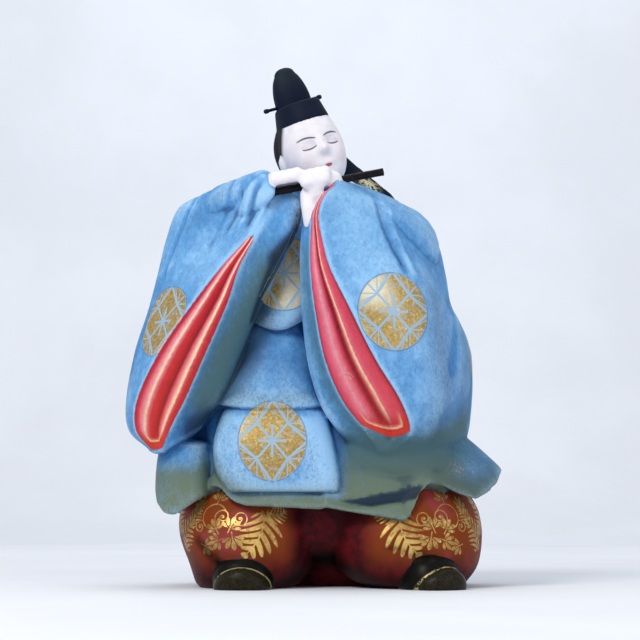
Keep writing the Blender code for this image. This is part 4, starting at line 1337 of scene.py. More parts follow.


# Painted highlights, airbrushed pale where light falls on the robe's rims, ridges and folds and on the gold:
# path, spread and strength, in millimetres.
HIGHLIGHT_STROKES = (
    (SLEEVE_LEFT["outer"][1:], 3.0, 0.9),
    (SLEEVE_LEFT["inner"][1:], 2.2, 0.7),
    (SLEEVE_RIGHT["outer"][1:], 3.0, 0.9),
    (SLEEVE_RIGHT["inner"][1:], 2.2, 0.8),
    (((-62, -50, 176), (-56, -58, 170), (-56, -60, 160)), 11, 0.5),
    (((-22, -42, 172), (-18, -41.5, 163), (-13, -43, 157), (-14, -46, 147)), 10, 1.0),
    (((30, -68, 150), (37, -66, 140), (40, -64, 126)), 12, 0.5),
    (((20, -60, 199), (26, -56, 195), (31, -52, 191)), 6, 0.6),
    (((-38, -58, 200), (-42, -56, 193), (-46, -56, 186)), 5, 0.6),
    (((-66, -49, 164), (-72, -47, 150)), 9, 0.3),
    (((-6, -56, 84), (0, -54, 82)), 5, 0.9),
    (((-35, -61, 206), (-38, -60, 194), (-40, -58, 187)), 1.5, 0.95),
    (((-29, -66, 207), (-31, -64, 194)), 1.3, 0.8),
    (((44, -59, 168), (47, -59, 160)), 2.6, 0.8),
    (((-55, -42, 65), (-53, -42, 58)), 4, 1.0),
    (((43, -48, 168), (47, -46, 161)), 4.5, 0.75),
    (((-37, -57, 33), (-33, -58, 20)), 6, 0.9),
    (((30, -57, 30), (46, -57, 20)), 5, 0.9),
    (((-27, -66, 212), (-29, -66, 198), (-38, -64, 182), (-48, -64, 166)), 3.5, 0.7),
    (((-14, -55, 197), (-24, -58, 192)), 3.0, 0.7),
    (((4, -60, 207), (14, -64, 195), (20, -70, 175), (24, -72, 150)), 13, 0.75),
    (((-80, -50, 118), (-88, -46, 100)), 10, 0.45),
    (((22, -74, 120), (36, -70, 110), (44, -66, 90)), 10, 0.35),
    (((-50, -57, 50), (-53, -60, 62), (-53, -58, 76), (-50, -55, 89)), 3.2, 0.9),
    (((7, -60, 50), (6, -60, 62), (3, -58, 76), (0, -55, 86)), 6, 0.9),
    (((-48, -60, 51), (-30, -61, 50), (-10, -61, 50), (12, -60, 51)), 3.6, 0.9),
    (((-50, -54, 87), (-30, -60, 87), (-10, -60, 87), (6, -54, 87)), 4.5, 0.9),
    (((-53, -50, 94), (-38, -56, 93), (-12, -56, 93), (5, -50, 94)), 3.0, 0.6),
    (((-41, -46, 141), (-30, -50, 136), (-16, -50, 134), (-4, -48, 136)), 3.0, 0.7),
    (((20, -75, 72), (36, -74, 66), (52, -66, 64)), 5, 0.3),
    (((-82, -30, 82), (-72, -44, 80), (-60, -46, 74)), 6, 0.4),
    (((88, -20, 72), (94, 0, 66)), 5, 0.35),
)
# Painted shade in the hollows and creases, under the overlapping parts and between the legs: path, spread and
# strength, in millimetres.
SHADOW_STROKES = (
    (((-6, -50, 196), (-12, -50, 182), (-20, -52, 165), (-30, -50, 140), (-40, -48, 115),
      (-50, -46, 98)), 5, 0.95),
    (((-19, -59, 168), (-26.5, -58, 154), (-33, -54, 137)), 2.2, 0.8),
    (((-6, -50, 150), (-7, -50, 120), (0, -50, 98)), 4, 0.8),
    (((-66, -48, 80), (-58, -46, 88)), 7, 0.85),
    (((76, -25, 110), (73, -30, 92)), 8, 0.5),
    (((-50, -50, 203), (-62, -36, 190)), 10, 0.2),
    (((-12, -43, 2), (2, -42, 11), (14, -43, 2)), 7, 1.0),
    (((30, -53, 196), (34, -58, 180), (43, -61, 161)), 1.7, 0.45),
    (((-31, -64, 205), (-34, -62, 196), (-37, -60, 185)), 1.5, 0.5),
    (((-41, -57, 205), (-44, -55, 195), (-47, -52, 184)), 1.5, 0.4),
    (((88, -22, 62), (80, -38, 54), (70, -46, 54)), 9, 0.4),
    (((-54, -18, 208), (-64, -24, 192), (-74, -28, 168)), 3.0, 0.55),
    (((60, -50, 148), (62, -54, 122), (64, -48, 98), (58, -52, 82)), 10, 0.5),
    (((-48, -50, 96), (-40, -50, 100), (-30, -48, 126), (-24, -46, 140)), 4.5, 0.6),
    (((-92, -30, 160), (-99, -26, 120), (-100, -26, 100)), 7, 0.35),
    (((62, -48, 50), (76, -46, 50), (88, -30, 54)), 7, 0.4),
    (((84, -8, 165), (90, -8, 140), (92, -8, 110), (90, -8, 92)), 10, 0.3),
    (((-30, -45, 118), (-25, -45, 112), (-16, -45, 112)), 12, 0.3),
    (((2, -45, 50), (3, -46, 36), (4, -44, 24)), 4, 0.45),
    (((-14, -46, 0), (-2, -36, 12), (4, -30, 16), (12, -40, 6), (30, -46, 0)), 9, 1.0),
    (((-66, -40, 1), (-40, -58, 0), (-14, -50, 0), (6, -40, 2), (30, -54, 0), (60, -58, 0),
      (80, -30, 0)), 7, 0.8),
    (((-62, -47, 24), (-52, -52.5, 13)), 2.6, 0.9),
    (((36, -58, 21), (46, -58, 18), (54, -57, 15)), 2.0, 0.5),
)
# Grey-green and grey-blue, partly the robe's own colour towards the hems and partly painted shade inside and
# under the sleeves and on their far sides: path, spread and strength, in millimetres.
TEAL_STROKES = (
    (((-60, -40, 46), (-52, -58, 47), (-30, -60, 43), (0, -60, 42), (30, -60, 39),
      (48, -58, 44), (62, -50, 52)), 8, 1.0),
    (((-62, 30, 46), (-30, 44, 42), (0, 46, 44), (30, 44, 42), (64, 30, 48)), 9, 1.0),
    (((16, -54, 82), (16, -53, 64), (17, -55, 44)), 6, 1.0),
    (((26, -53, 84), (26, -52, 60), (27, -54, 44)), 9, 1.0),
    (((38, -57, 68), (40, -53, 44)), 10, 1.0),
    (((54, -49, 64), (52, -52, 48)), 9, 1.0),
    (((36, -57, 38), (44, -56, 36)), 4, 1.0),
    (((30, -62, 70), (48, -58, 70), (62, -46, 76), (76, -22, 84)), 9, 0.95),
    (((26, -54, 80), (40, -50, 68), (56, -44, 64)), 10, 0.9),
    (((-84, -20, 45), (-80, -45, 42), (-64, -52, 46), (-56, -52, 52)), 12, 0.9),
    (((-84, 10, 45), (-70, 30, 42)), 14, 0.9),
    (((44, -45, 54), (62, -48, 52), (80, -40, 48), (92, -15, 54), (90, 10, 56), (80, 30, 50)), 12, 0.95),
    (((-84, -30, 57), (-76, -46, 56), (-64, -51, 55), (-57, -51, 58)), 8, 0.95),
    (((-86, -10, 58), (-80, 10, 56)), 10, 0.9),
    (((30, -62, 68), (50, -56, 66), (70, -30, 66), (76, -4, 68), (60, 22, 70)), 11, 0.8),
    (((-27, -58, 160), (-36, -58, 145), (-48, -58, 120), (-58, -54, 96)), 12, 1.0),
    (((-30, -48, 150), (-42, -48, 124), (-52, -46, 102)), 8, 0.9),
    (((-5, -64, 170), (-5, -66, 150), (-1, -68, 120), (8, -66, 96), (24, -62, 76)), 5, 0.6),
    (((-58, -48, 84), (-56, -46, 70), (-58, -46, 56)), 6, 0.8),
    (((78, -20, 130), (80, -10, 105), (76, -20, 84)), 8, 0.4),
    (((-96, -30, 110), (-98, -34, 88)), 7, 0.5),
    (((-40, -52, 97), (-25, -55, 95), (-8, -52, 97)), 5, 0.4),
)

# Painted shade in the deepest hollows, darker than the rest.
DARKEST_SHADE_STROKES = (
    (((-9.7, -58.5, 190), (-11, -58.5, 184), (-14, -58.5, 178), (-18, -60, 173.5),
      (-23, -61, 167)), 3.6, 1.0),
    (((-23, -61, 167), (-27.5, -60, 156), (-34.5, -56, 136)), 2.0, 0.9),
    (((-66, -49, 84), (-62, -47, 90)), 7, 0.8),
)
# The painted shadow in the slot under the overlap of the hem, in millimetres: its edges as a height at x = 0
# and a rise along x, and its end as an x at z = 0 and a lean along z.
RECESS_UPPER = (41.3, 0.21)
RECESS_LOWER = (37.2, 0.17)
RECESS_BEND = (47.0, -0.22)
RECESS_END = (23.6, 0.55)
RECESS_BLUR = 1.2
RECESS_BEHIND = -46.0


def painted_field(points, strokes):
    """How strongly each point is covered by the strokes of an airbrush, from 0 to 1."""
    bare = np.ones(len(points))
    for path, spread, strength in strokes:
        path = curve_through(path, 5 * len(path))
        reach = 3 * spread
        near = np.all((points > path.min(axis=0) - reach) & (points < path.max(axis=0) + reach), axis=1)
        away = distance_to_path(points[near], path)
        bare[near] *= 1 - strength * np.exp(-((away / spread) ** 2))
    return 1 - bare


def recess_values(points):
    """The painted shadow in the slot under the overlap of the hem: 1 between its upper and lower edge, 0
    outside.
    """
    x, y, z = points.T
    upper = RECESS_UPPER[0] + RECESS_UPPER[1] * x - z
    lower = z - np.maximum(RECESS_LOWER[0] + RECESS_LOWER[1] * x, RECESS_BEND[0] + RECESS_BEND[1] * x)
    inside = np.minimum(np.minimum(upper, lower), RECESS_END[0] + RECESS_END[1] * z - x)
    return np.clip(inside / RECESS_BLUR + 0.5, 0, 1) * (y < RECESS_BEHIND)


def ridge_values(points, edges, normals, rounds):
    """How far each point stands out of (above 0) or lies in its surroundings, in millimetres."""
    smooth = points.copy()
    for _ in range(rounds):
        smooth += (neighbour_mean(smooth, edges, len(points)) - smooth) * 0.6
    return np.einsum("ij,ij->i", points - smooth, normals)


def neighbour_paints(ink, base, names):
    """Each paint carries on a little way past its edge in the colour of its neighbour."""
    for name in names:
        base = ink.mix(ink.band(ink.value(name), -0.04, 0.04), base, (*colour(PLAIN_COLOURS[name]), 1))
    return base


def robe_material(paint):
    """Azure robe: sponged blue with painted highlights airbrushed pale, painted shade in the hollows and
    grey-green hems.
    """
    made, ink, shader = fresh_material("painted_robe", 0.6, specular=0.3)
    place = ink.place()
    brushed = ink.mapped(place, size=(1, 1, 1.7))
    fine = ink.noise(brushed, 1100, 4, 0.7)
    broad = ink.noise(place, 140, 4, 0.6, 0.6)
    patch = ink.noise(brushed, 420, 3, 0.6)
    ridge = ink.value("ridge")
    sponge = ink.add(ink.times(fine, 0.45), ink.add(ink.times(patch, 0.35), ink.times(broad, 0.2)))
    base = ink.mix(ink.band(sponge, 0.40, 0.62), paint.robe_shade, paint.robe_blue)
    # Painted highlights: the pale strokes and the ridges made paler where light catches them, with broad random
    # patches, and the upper parts painted paler where light falls from above.
    bloom = ink.add(ink.value("pale"), ink.times(ink.band(ridge, 0.05, 0.7), 0.55))
    bloom = ink.times(bloom, ink.blend(ink.band(sponge, 0.36, 0.6), 0.55, 1.1))
    bloom = ink.add(bloom, ink.times(ink.band(broad, 0.5, 0.72), 0.25))
    _, _, height = ink.parts(place)
    bloom = ink.add(bloom, ink.times(ink.band(height, 0.10, 0.16), 0.12))
    base = ink.mix(ink.math("MULTIPLY", bloom, 1.0, clamp=True), base, paint.robe_highlight)
    # Grey-green: partly the hems' own colour, partly painted shade inside and under the sleeves.
    green = ink.times(ink.value("teal"), ink.blend(ink.band(sponge, 0.35, 0.6), 1.3, 1.0))
    hem = ink.mix(ink.band(height, 0.074, 0.048), paint.robe_teal, paint.robe_moss)
    base = ink.mix(ink.math("MULTIPLY", green, 1.0, clamp=True), base, hem)
    # Painted shade: the hollows and creases darkened to deep blue, to grey-green where the teal lies, and to
    # near black in the darkest ones.
    hollow = ink.add(ink.value("deep"), ink.times(ink.band(ridge, -0.08, -0.7), 0.7))
    shade = ink.mix(ink.value("teal"), paint.robe_outline_and_shade, paint.robe_green_shade)
    shade = ink.mix(ink.band(ink.value("deep"), 1.0, 2.0), shade, paint.robe_darkest_shade)
    base = ink.mix(ink.math("MULTIPLY", hollow, 0.9, clamp=True), base, shade)
    # Painted highlight: near white on the sharpest rims.
    rim = ink.times(ink.band(ridge, 0.3, 0.9), ink.band(fine, 0.3, 0.6))
    rim = ink.times(rim, ink.without(ink.times(ink.value("teal"), 0.75)))
    base = ink.mix(ink.times(rim, 0.4), base, paint.edge_highlight_blue)

    gold_noise = ink.noise(place, 700, 4, 0.7)
    worn = ink.band(ink.noise(place, 330, 4, 0.65), 0.34, 0.46)
    crest = ink.group(roundel_tree(), Vector=ink.value("crest", "Vector"))
    base = ink.mix(ink.times(crest["Disc"], 0.85), base, paint.robe_line)
    base = ink.mix(ink.times(crest["Rim"], ink.times(worn, 0.5)), base, paint.robe_outline_and_shade)
    gold = ink.times(crest["Gold"], ink.blend(worn, 0.45, 1.0))
    fleck = ink.both(ink.value("fleck"), ink.band(ink.noise(place, 900, 3, 0.6), 0.56, 0.60))
    gold = ink.either(gold, fleck)
    leaf = ink.mix(ink.band(gold_noise, 0.35, 0.65), paint.gold_dark, paint.gold)
    leaf = ink.mix(ink.band(gold_noise, 0.58, 0.72), leaf, paint.gold_light)
    # Painted reflection: under the painted highlights the gold turns pale cream and glossier.
    bright = ink.band(ink.value("pale"), 0.35, 0.95)
    leaf = ink.mix(ink.times(bright, 0.8), leaf, colour("F6F2DC"))
    base = ink.mix(gold, base, leaf)

    lining, line_gold = lining_colours(ink, paint, place, sponge)
    inside = ink.either(ink.value("mouth_left"), ink.value("mouth_right"))
    mouth = ink.both(ink.band(inside, -0.08, 0.12), ink.band(ink.value("robe"), -0.04, 0.04))
    base = ink.mix(mouth, base, lining)
    edge_line = ink.both(ink.band(inside, -0.75, -0.15), ink.band(inside, 0.25, -0.05))
    base = ink.mix(ink.times(edge_line, 0.35), base, paint.robe_outline_and_shade)
    gold = ink.times(gold, ink.without(mouth))
    gold = ink.either(gold, ink.times(line_gold, mouth))
    base = neighbour_paints(ink, base, ("trousers", "skin", "hair", "cap", "ribbon", "shoes"))

    ink.feed(shader.inputs["Base Color"], base)
    ink.feed(shader.inputs["Metallic"], ink.times(gold, ink.blend(bright, 0.4, 0.3)))
    rough = ink.blend(gold, ink.blend(fine, 0.52, 0.7), ink.blend(bright, 0.42, 0.24))
    ink.feed(shader.inputs["Roughness"], rough)
    ink.feed(shader.inputs["Normal"], ink.bump(((fine, 0.0004, 0.25),)))
    return made


def lining_colours(ink, paint, place, sponge):
    """Red lining of the sleeves: bands that follow its folds, with painted highlights in two pale lines on
    their ridges that meet at the bottom, and painted shade in the deepest groove.
    """
    across = ink.value("across")
    along = ink.value("along")
    streak = ink.noise(ink.joined(ink.times(across, 26.0), ink.times(along, 7.0), 0.0), 1.0, 4, 0.6)
    wander = ink.add(across, ink.times(ink.less(streak, 0.5), 0.03))
    left = ink.ramp(wander, LINING_BANDS_LEFT, smooth=False)
    right = ink.ramp(ink.without(wander), LINING_BANDS_RIGHT, smooth=False)
    is_left = ink.band(ink.less(ink.value("mouth_left"), ink.value("mouth_right")), -0.1, 0.1)
    bands = ink.mix(is_left, right, left)
    inside = ink.either(ink.value("mouth_left"), ink.value("mouth_right"))
    foot = ink.ramp(ink.times(inside, 0.1), LINING_BANDS_FOOT, smooth=False)
    low = ink.add(along, ink.times(is_left, 0.08))
    bands = ink.mix(ink.band(low, 0.20, 0.13), bands, foot)
    cloudy = ink.mix(ink.band(sponge, 0.4, 0.62), (0.86, 0.8, 0.82, 1), (1.08, 1.1, 1.08, 1))
    bands = ink.mix(0.8, bands, ink.mix(1.0, bands, cloudy, blend="MULTIPLY"))
    bands = ink.mix(ink.times(ink.band(along, 0.7, 1.0), 0.45), bands, colour("E5AEBD"))
    bands = ink.mix(ink.times(ink.band(along, 0.5, 0.1), 0.25), bands, colour("D8482C"))
    flake = ink.both(ink.value("fleck"), ink.band(ink.noise(place, 900, 3, 0.6), 0.56, 0.6))
    bands = ink.mix(flake, bands, paint.gold_light)
    return bands, flake


def trousers_material(paint):
    """Wine-red trousers with an orange glow under a gold arabesque on the outer front of each leg."""
    made, ink, shader = fresh_material("painted_trousers", 0.5, specular=0.08)
    place = ink.place()
    fine = ink.noise(place, 1000, 4, 0.65)
    broad = ink.noise(place, 120, 3, 0.6)
    base = ink.mix(ink.band(broad, 0.35, 0.65), paint.wine_dark, paint.wine)
    spot = ink.value("leg", "Vector")
    panel, _, height = ink.parts(spot)
    lean = ink.times(ink.less(height, 30.0), -0.1)
    outward = ink.add(panel, lean)
    patterned = ink.both(ink.band(outward, -21.0, -19.0), ink.band(panel, 62.0, 55.0))
    patterned = ink.both(patterned, ink.band(height, 13.0, 16.0))
    glow = ink.both(ink.band(outward, -26.0, -14.0), ink.band(panel, 60.0, 34.0))
    glow = ink.times(glow, ink.band(height, 4.0, 24.0))
    base = ink.mix(ink.times(glow, 0.88), base, paint.wine_glow)
    rose = ink.times(ink.band(ink.noise(place, 60, 2, 0.5), 0.5, 0.7), glow)
    base = ink.mix(ink.times(rose, 0.35), base, colour("A8405A"))

    trees = {"fan": fan_tree(), "frond": frond_tree(), "curl": curl_tree(), "bow": bow_tree()}
    marks = []
    for kind, x_at, z_at, turn, size, *more in ARABESQUE:
        values = {"Vector": spot, "X": x_at, "Z": z_at, "Turn": math.radians(turn), "Size": size}
        if kind in ("frond", "curl"):
            values["Bend"] = more[0]
        if kind == "bow":
            values["Half_angle"] = math.radians(more[0])
        marks.append(ink.group(trees[kind], **values)["Mask"])
    drawn = ink.both(ink.either(*marks), patterned)
    worn = ink.band(ink.noise(place, 260, 4, 0.65), 0.36, 0.5)
    gold = ink.times(drawn, ink.blend(worn, 0.45, 1.0))
    gold_noise = ink.noise(place, 500, 3, 0.6)
    leaf = ink.mix(ink.band(gold_noise, 0.35, 0.6), paint.gold_dark, paint.gold)
    leaf = ink.mix(ink.band(gold_noise, 0.6, 0.72), leaf, paint.gold_light)
    leaf = ink.mix(0.22, leaf, paint.wine_glow)
    # Painted highlights: the leaves turn bright yellow under the pale strokes.
    leaf = ink.mix(ink.times(ink.value("pale"), 0.85), leaf, colour("F6D47C"))
    base = ink.mix(gold, base, leaf)
    # Painted shade: near black in the creases, in the hollows and between the legs.
    crease = ink.times(ink.band(ink.value("ridge"), -0.1, -0.8), 0.5)
    hollow = ink.math("MULTIPLY", ink.add(ink.value("deep"), crease), 0.85, clamp=True)
    base = ink.mix(hollow, base, paint.wine_hollow_shade)
    base = neighbour_paints(ink, base, ("robe", "shoes", "toes"))

    ink.feed(shader.inputs["Base Color"], base)
    ink.feed(shader.inputs["Metallic"], ink.times(gold, 0.4))
    ink.feed(shader.inputs["Roughness"], ink.blend(gold, ink.blend(fine, 0.42, 0.58), 0.34))
    ink.feed(shader.inputs["Normal"], ink.bump(((fine, 0.0003, 0.2),)))
    return made


def head_spot(ink, place):
    """The point in the head's own frame, in millimetres."""
    turned = head_place()
    return ink.mapped(place, turned.to_translation(), turned.to_euler("XYZ"), (MM, MM, MM))


def head_material(paint):
    """White skin with a painted face, black hair, a black cap and the ribbon that hangs from it."""
    made, ink, shader = fresh_material("painted_head", 0.5, specular=0.12)
    place = ink.place()
    spot = head_spot(ink, place)
    x, y, z = ink.parts(spot)
    fine = ink.noise(place, 1500, 3, 0.6)
    broad = ink.noise(place, 180, 3, 0.5)
    front = ink.band(y, 0.0, -3.0)
    base = ink.mix(ink.band(broad, 0.2, 0.8), paint.skin, paint.skin_light)
    # Painted shade: lilac grey in the hollows of the skin.
    skin_hollow_shade = ink.both(ink.band(ink.value("ridge"), -0.02, -0.45), 1.0)
    base = ink.mix(ink.times(skin_hollow_shade, 0.55), base, paint.skin_shade)

    stroke = stroke_tree()
    for turn, size, rise, thick, soft, tone, strength, places in FACE_STROKES:
        for side, x_at, z_at in places:
            drawn = ink.group(
                stroke, Vector=spot, X=x_at, Z=z_at, Turn=math.radians(turn) * side, Size=size,
                Rise=rise, Thick=thick, Soft=soft,
            )["Mask"]
            base = ink.mix(ink.times(ink.both(drawn, front), strength), base, (*colour(tone), 1))

    hairline = ink.node("ShaderNodeFloatCurve")
    points = hairline.mapping.curves[0].points
    while len(points) < len(HAIRLINE):
        points.new(0.5, 0.5)
    for point, (height, back) in zip(points, HAIRLINE):
        point.location = ((height + 25) / 50, (back + 25) / 50)
    hairline.mapping.update()
    ink.feed(hairline.inputs["Value"], ink.over(ink.add(z, 25.0), 50.0))
    line = ink.less(ink.times(hairline.outputs[0], 50.0), 25.0)
    behind = ink.less(y, ink.add(line, ink.times(ink.less(fine, 0.5), 0.6)))
    is_head = ink.both(ink.under(ink.size(x), 19.5, 0.1), ink.under(ink.size(y), 26.0, 0.1))
    hair = ink.both(ink.both(ink.band(behind, -2.2, 2.6), ink.band(z, -17.5, -15.5)), is_head)
    ear = ink.value("ear")
    hair = ink.both(hair, ink.without(ink.band(ear, -0.3, 0.1)))
    base = ink.mix(hair, base, paint.hair)
    weave = ink.times(
        ink.math("SINE", ink.times(ink.add(x, z), 7.0)),
        ink.math("SINE", ink.times(ink.less(x, z), 7.0)),
    )
    lacquer = ink.either(ink.value("cap"), ink.value("ribbon"))
    capped = ink.band(lacquer, -0.04, 0.04)
    black = ink.mix(ink.band(weave, -0.5, 0.8), paint.cap_black, paint.cap_navy)
    black = ink.mix(ink.times(ink.band(z, 30.0, 42.0), 0.35), black, colour("26352F"))
    base = ink.mix(capped, base, black)
    leafed = ink.both(ink.value("ribbon_leaf"), ink.band(ink.noise(place, 330, 4, 0.7), 0.45, 0.55))
    leafed = ink.both(leafed, ink.band(ink.value("ribbon"), -0.04, 0.04))
    base = ink.mix(leafed, base, paint.gold_light)
    base = neighbour_paints(ink, base, ("robe",))

    dark = ink.either(capped, hair)
    ink.feed(shader.inputs["Base Color"], base)
    ink.feed(shader.inputs["Roughness"], ink.blend(dark, ink.blend(fine, 0.48, 0.6), 0.62))
    ink.feed(shader.inputs["Normal"], ink.bump(((fine, 0.0002, 0.12),)))
    return made


def shoe_material(paint):
    """Black lacquered shoes, a little olive, with a pale gold lip that is also a painted highlight on the rim
    of the toe cap.
    """
    made, ink, shader = fresh_material("painted_shoes", 0.4, specular=0.12)
    place = ink.place()
    fine = ink.noise(place, 800, 4, 0.65)
    toe = ink.value("toes")
    olive = ink.mix(ink.band(fine, 0.35, 0.7), colour("17140C"), colour("2E2918"))
    base = ink.mix(ink.band(toe, -0.04, 0.04), colour("0B0A07"), olive)
    # The lip: gold paint, and a painted highlight along the rim of the toe cap.
    lip = ink.both(ink.band(toe, -0.5, -0.1), ink.band(toe, 0.75, 0.35))
    lip = ink.both(lip, ink.band(ink.value("trousers"), -1.0, -1.8))
    lip = ink.times(lip, ink.band(ink.noise(place, 300, 3, 0.6), 0.36, 0.5))
    base = ink.mix(ink.times(lip, 0.85), base, colour("B9AC7C"))
    base = neighbour_paints(ink, base, ("trousers",))
    ink.feed(shader.inputs["Base Color"], base)
    ink.feed(shader.inputs["Metallic"], ink.times(lip, 0.3))
    ink.feed(shader.inputs["Roughness"], ink.blend(fine, 0.3, 0.45))
    ink.feed(shader.inputs["Normal"], ink.bump(((fine, 0.0003, 0.15),)))
    return made


def flute_material(paint):
    """Smoked bamboo under black-brown lacquer, with grain along its length."""
    made, ink, shader = fresh_material("smoked_bamboo", 0.4, specular=0.12)
    place = ink.place()
    run = Vector(FLUTE_ENDS[1]) - Vector(FLUTE_ENDS[0])
    turned = run.to_track_quat("X", "Z").to_euler("XYZ")
    along = ink.mapped(place, Vector(FLUTE_ENDS[0]) * MM, turned, (MM * 12, MM, MM))
    grain = ink.noise(along, 2.2, 4, 0.6)
    base = ink.mix(ink.band(grain, 0.35, 0.7), paint.bamboo_dark, paint.bamboo)
    ink.feed(shader.inputs["Base Color"], base)
    ink.feed(shader.inputs["Roughness"], ink.blend(grain, 0.34, 0.5))
    ink.feed(shader.inputs["Normal"], ink.bump(((grain, 0.0002, 0.2),)))
    return made


def lacquer_material(paint, name, tone):
    """Black lacquer with the faint unevenness of a brushed coat."""
    made, ink, shader = fresh_material(name, 0.36, specular=0.12)
    place = ink.place()
    fine = ink.noise(place, 600, 3, 0.6)
    base = ink.mix(ink.band(fine, 0.35, 0.7), (*tone, 1), paint.cap_navy)
    ink.feed(shader.inputs["Base Color"], base)
    ink.feed(shader.inputs["Roughness"], ink.blend(fine, 0.3, 0.42))
    ink.feed(shader.inputs["Normal"], ink.bump(((fine, 0.0002, 0.15),)))
    return made


def plain_material(name, tone, roughness):
    """Pale matt paper of the stage, with a faint cloudiness."""
    made, ink, shader = fresh_material(name, roughness)
    cloud = ink.noise(ink.place(), 3.5, 4, 0.6)
    lighter = tuple(min(1.0, c * 1.06) for c in tone)
    ink.feed(shader.inputs["Base Color"], ink.mix(ink.band(cloud, 0.35, 0.65), (*tone, 1), (*lighter, 1)))
    return made


def ear_values(points):
    """How much nearer than the reach each point is to an ear: positive on it."""
    values = np.full(len(points), -GROUP_REACH)
    for centre in EARS:
        middle = np.array(head_place() @ (Vector(centre) * MM)) / MM
        values = np.maximum(values, EAR_SIZE[2] + 0.6 - np.linalg.norm(points - middle, axis=1))
    return values


def crest_places(points):
    """Each point as the nearest crest sees it: its disc has radius 1, x across and z up."""
    nearest = np.full((len(points), 3), 9.0)
    for centre, turn, size in ROUNDELS:
        c, s = math.cos(math.radians(turn)), math.sin(math.radians(turn))
        away = points - np.array(centre, float)
        x, y, z = away.T
        seen = np.column_stack([c * x + s * y, c * y - s * x, z]) / size
        nearer = np.abs(seen).max(axis=1) < np.abs(nearest).max(axis=1)
        nearest[nearer] = seen[nearer]
    nearest[np.abs(nearest).max(axis=1) > 1.25, 1] = 9.0
    return nearest


def leg_places(points):
    """Each point on its leg laid out flat: across by angle from the front to the outside, and the height."""
    off = np.abs(points[:, 0] - LEG_MIDDLE) - LEG_APART
    across = np.arctan2(off, LEG_DEPTH - points[:, 1]) * LEG_ROUND
    return np.column_stack([across, np.zeros(len(points)), points[:, 2]])


def figure_values(points, edges, normals):
    """The painted fields of the robe, the trousers, the shoes and the ribbon."""
    # pale holds the painted highlights, deep the painted shade with its darkest part counted twice, and teal
    # the grey-green that is partly painted shade.
    darkest = np.maximum(painted_field(points, DARKEST_SHADE_STROKES), recess_values(points))
    values = {
        "crest": crest_places(points),
        "leg": leg_places(points),
        "pale": painted_field(points, HIGHLIGHT_STROKES),
        "deep": np.maximum(painted_field(points, SHADOW_STROKES), darkest) + darkest,
        "teal": painted_field(points, TEAL_STROKES),
        "fleck": painted_field(points, FLECK_STROKES),
        "ribbon_leaf": painted_field(points, LEAF_STROKES),
        "ridge": ridge_values(points, edges, normals, 30),
        "ear": ear_values(points),
    }
    return values


def figure_mesh(settings):
    """The clay figure, fused, softened and thinned, with its painted values."""
    shells = figure_shells()
    grain = settings.grain / MM
    data = clay_mesh(shells, grain)
    points = points_of(data)
    edges = edges_of(data)
    values = group_values(points, shells)
    left = mouth_values(points, mouth_patch(SLEEVE_LEFT, LINING_LEFT))
    right = mouth_values(points, mouth_patch(SLEEVE_RIGHT, LINING_RIGHT))
    is_left = left[0] > right[0]
    closing = np.clip((points[:, 2] - LINING_CLOSES[0]) / (LINING_CLOSES[1] - LINING_CLOSES[0]), 0, 1)
    values["mouth_left"] = left[0] - 6 * closing
    beside = (right[1] - LINING_FOOT_MIDDLE) / (1 - LINING_FOOT_MIDDLE)
    values["mouth_right"] = np.minimum(right[0], points[:, 2] - LINING_FOOT - LINING_FOOT_RISE * beside**2)
    values["across"] = np.where(is_left, left[1], right[1])
    values["along"] = np.where(is_left, left[2], right[2])
    for name in ("mouth_left", "mouth_right", "across", "along"):
        column = values[name][:, None]
        for _ in range(3):
            column = (column + neighbour_mean(column, edges, len(points))) / 2
        values[name] = column[:, 0]
    points = smeared(points, edges, SMEAR_STROKES)
    points = rims_rounded(points, edges, normals_of(data), RIM_ROUNDS)
    points = softened(points, edges, settings.smoothing, np.ones(len(points)))
    set_points(data, points)
    points = strokes_pressed(points, normals_of(data), TOOL_STROKES)
    points[:, 2] = np.maximum(points[:, 2], 0)
    set_points(data, points)
    with_values(data, values)
    data = thinned(data, settings.triangles)
    points = points_of(data)
    with_values(data, figure_values(points, edges_of(data), normals_of(data)))
    return data


def paint_faces(data):
    """Clears the mesh's materials and finds for each face the slot of the group that it lies in."""
    data.materials.clear()
    areas = ("robe", "trousers", "skin", "hair", "cap", "ribbon", "shoes", "toes")
    worth = np.empty((len(areas), len(data.vertices)), np.float32)
    for row, name in zip(worth, areas):
        data.attributes[name].data.foreach_get("value", row)
    corners = np.empty(len(data.loops), np.int32)
    data.loops.foreach_get("vertex_index", corners)
    best = worth[:, corners.reshape(-1, 3)].mean(axis=2).argmax(axis=0)
    slots = np.array([0, 1, 2, 2, 2, 2, 3, 3], np.int32)[best]
    return slots


def placed(name, data, node):
    """A finished piece that stands in for one node of the solids."""
    thing = bpy.data.objects.new(name, data)
    bpy.context.scene.collection.objects.link(thing)
    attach(thing, "root")
    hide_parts(node)
    return thing


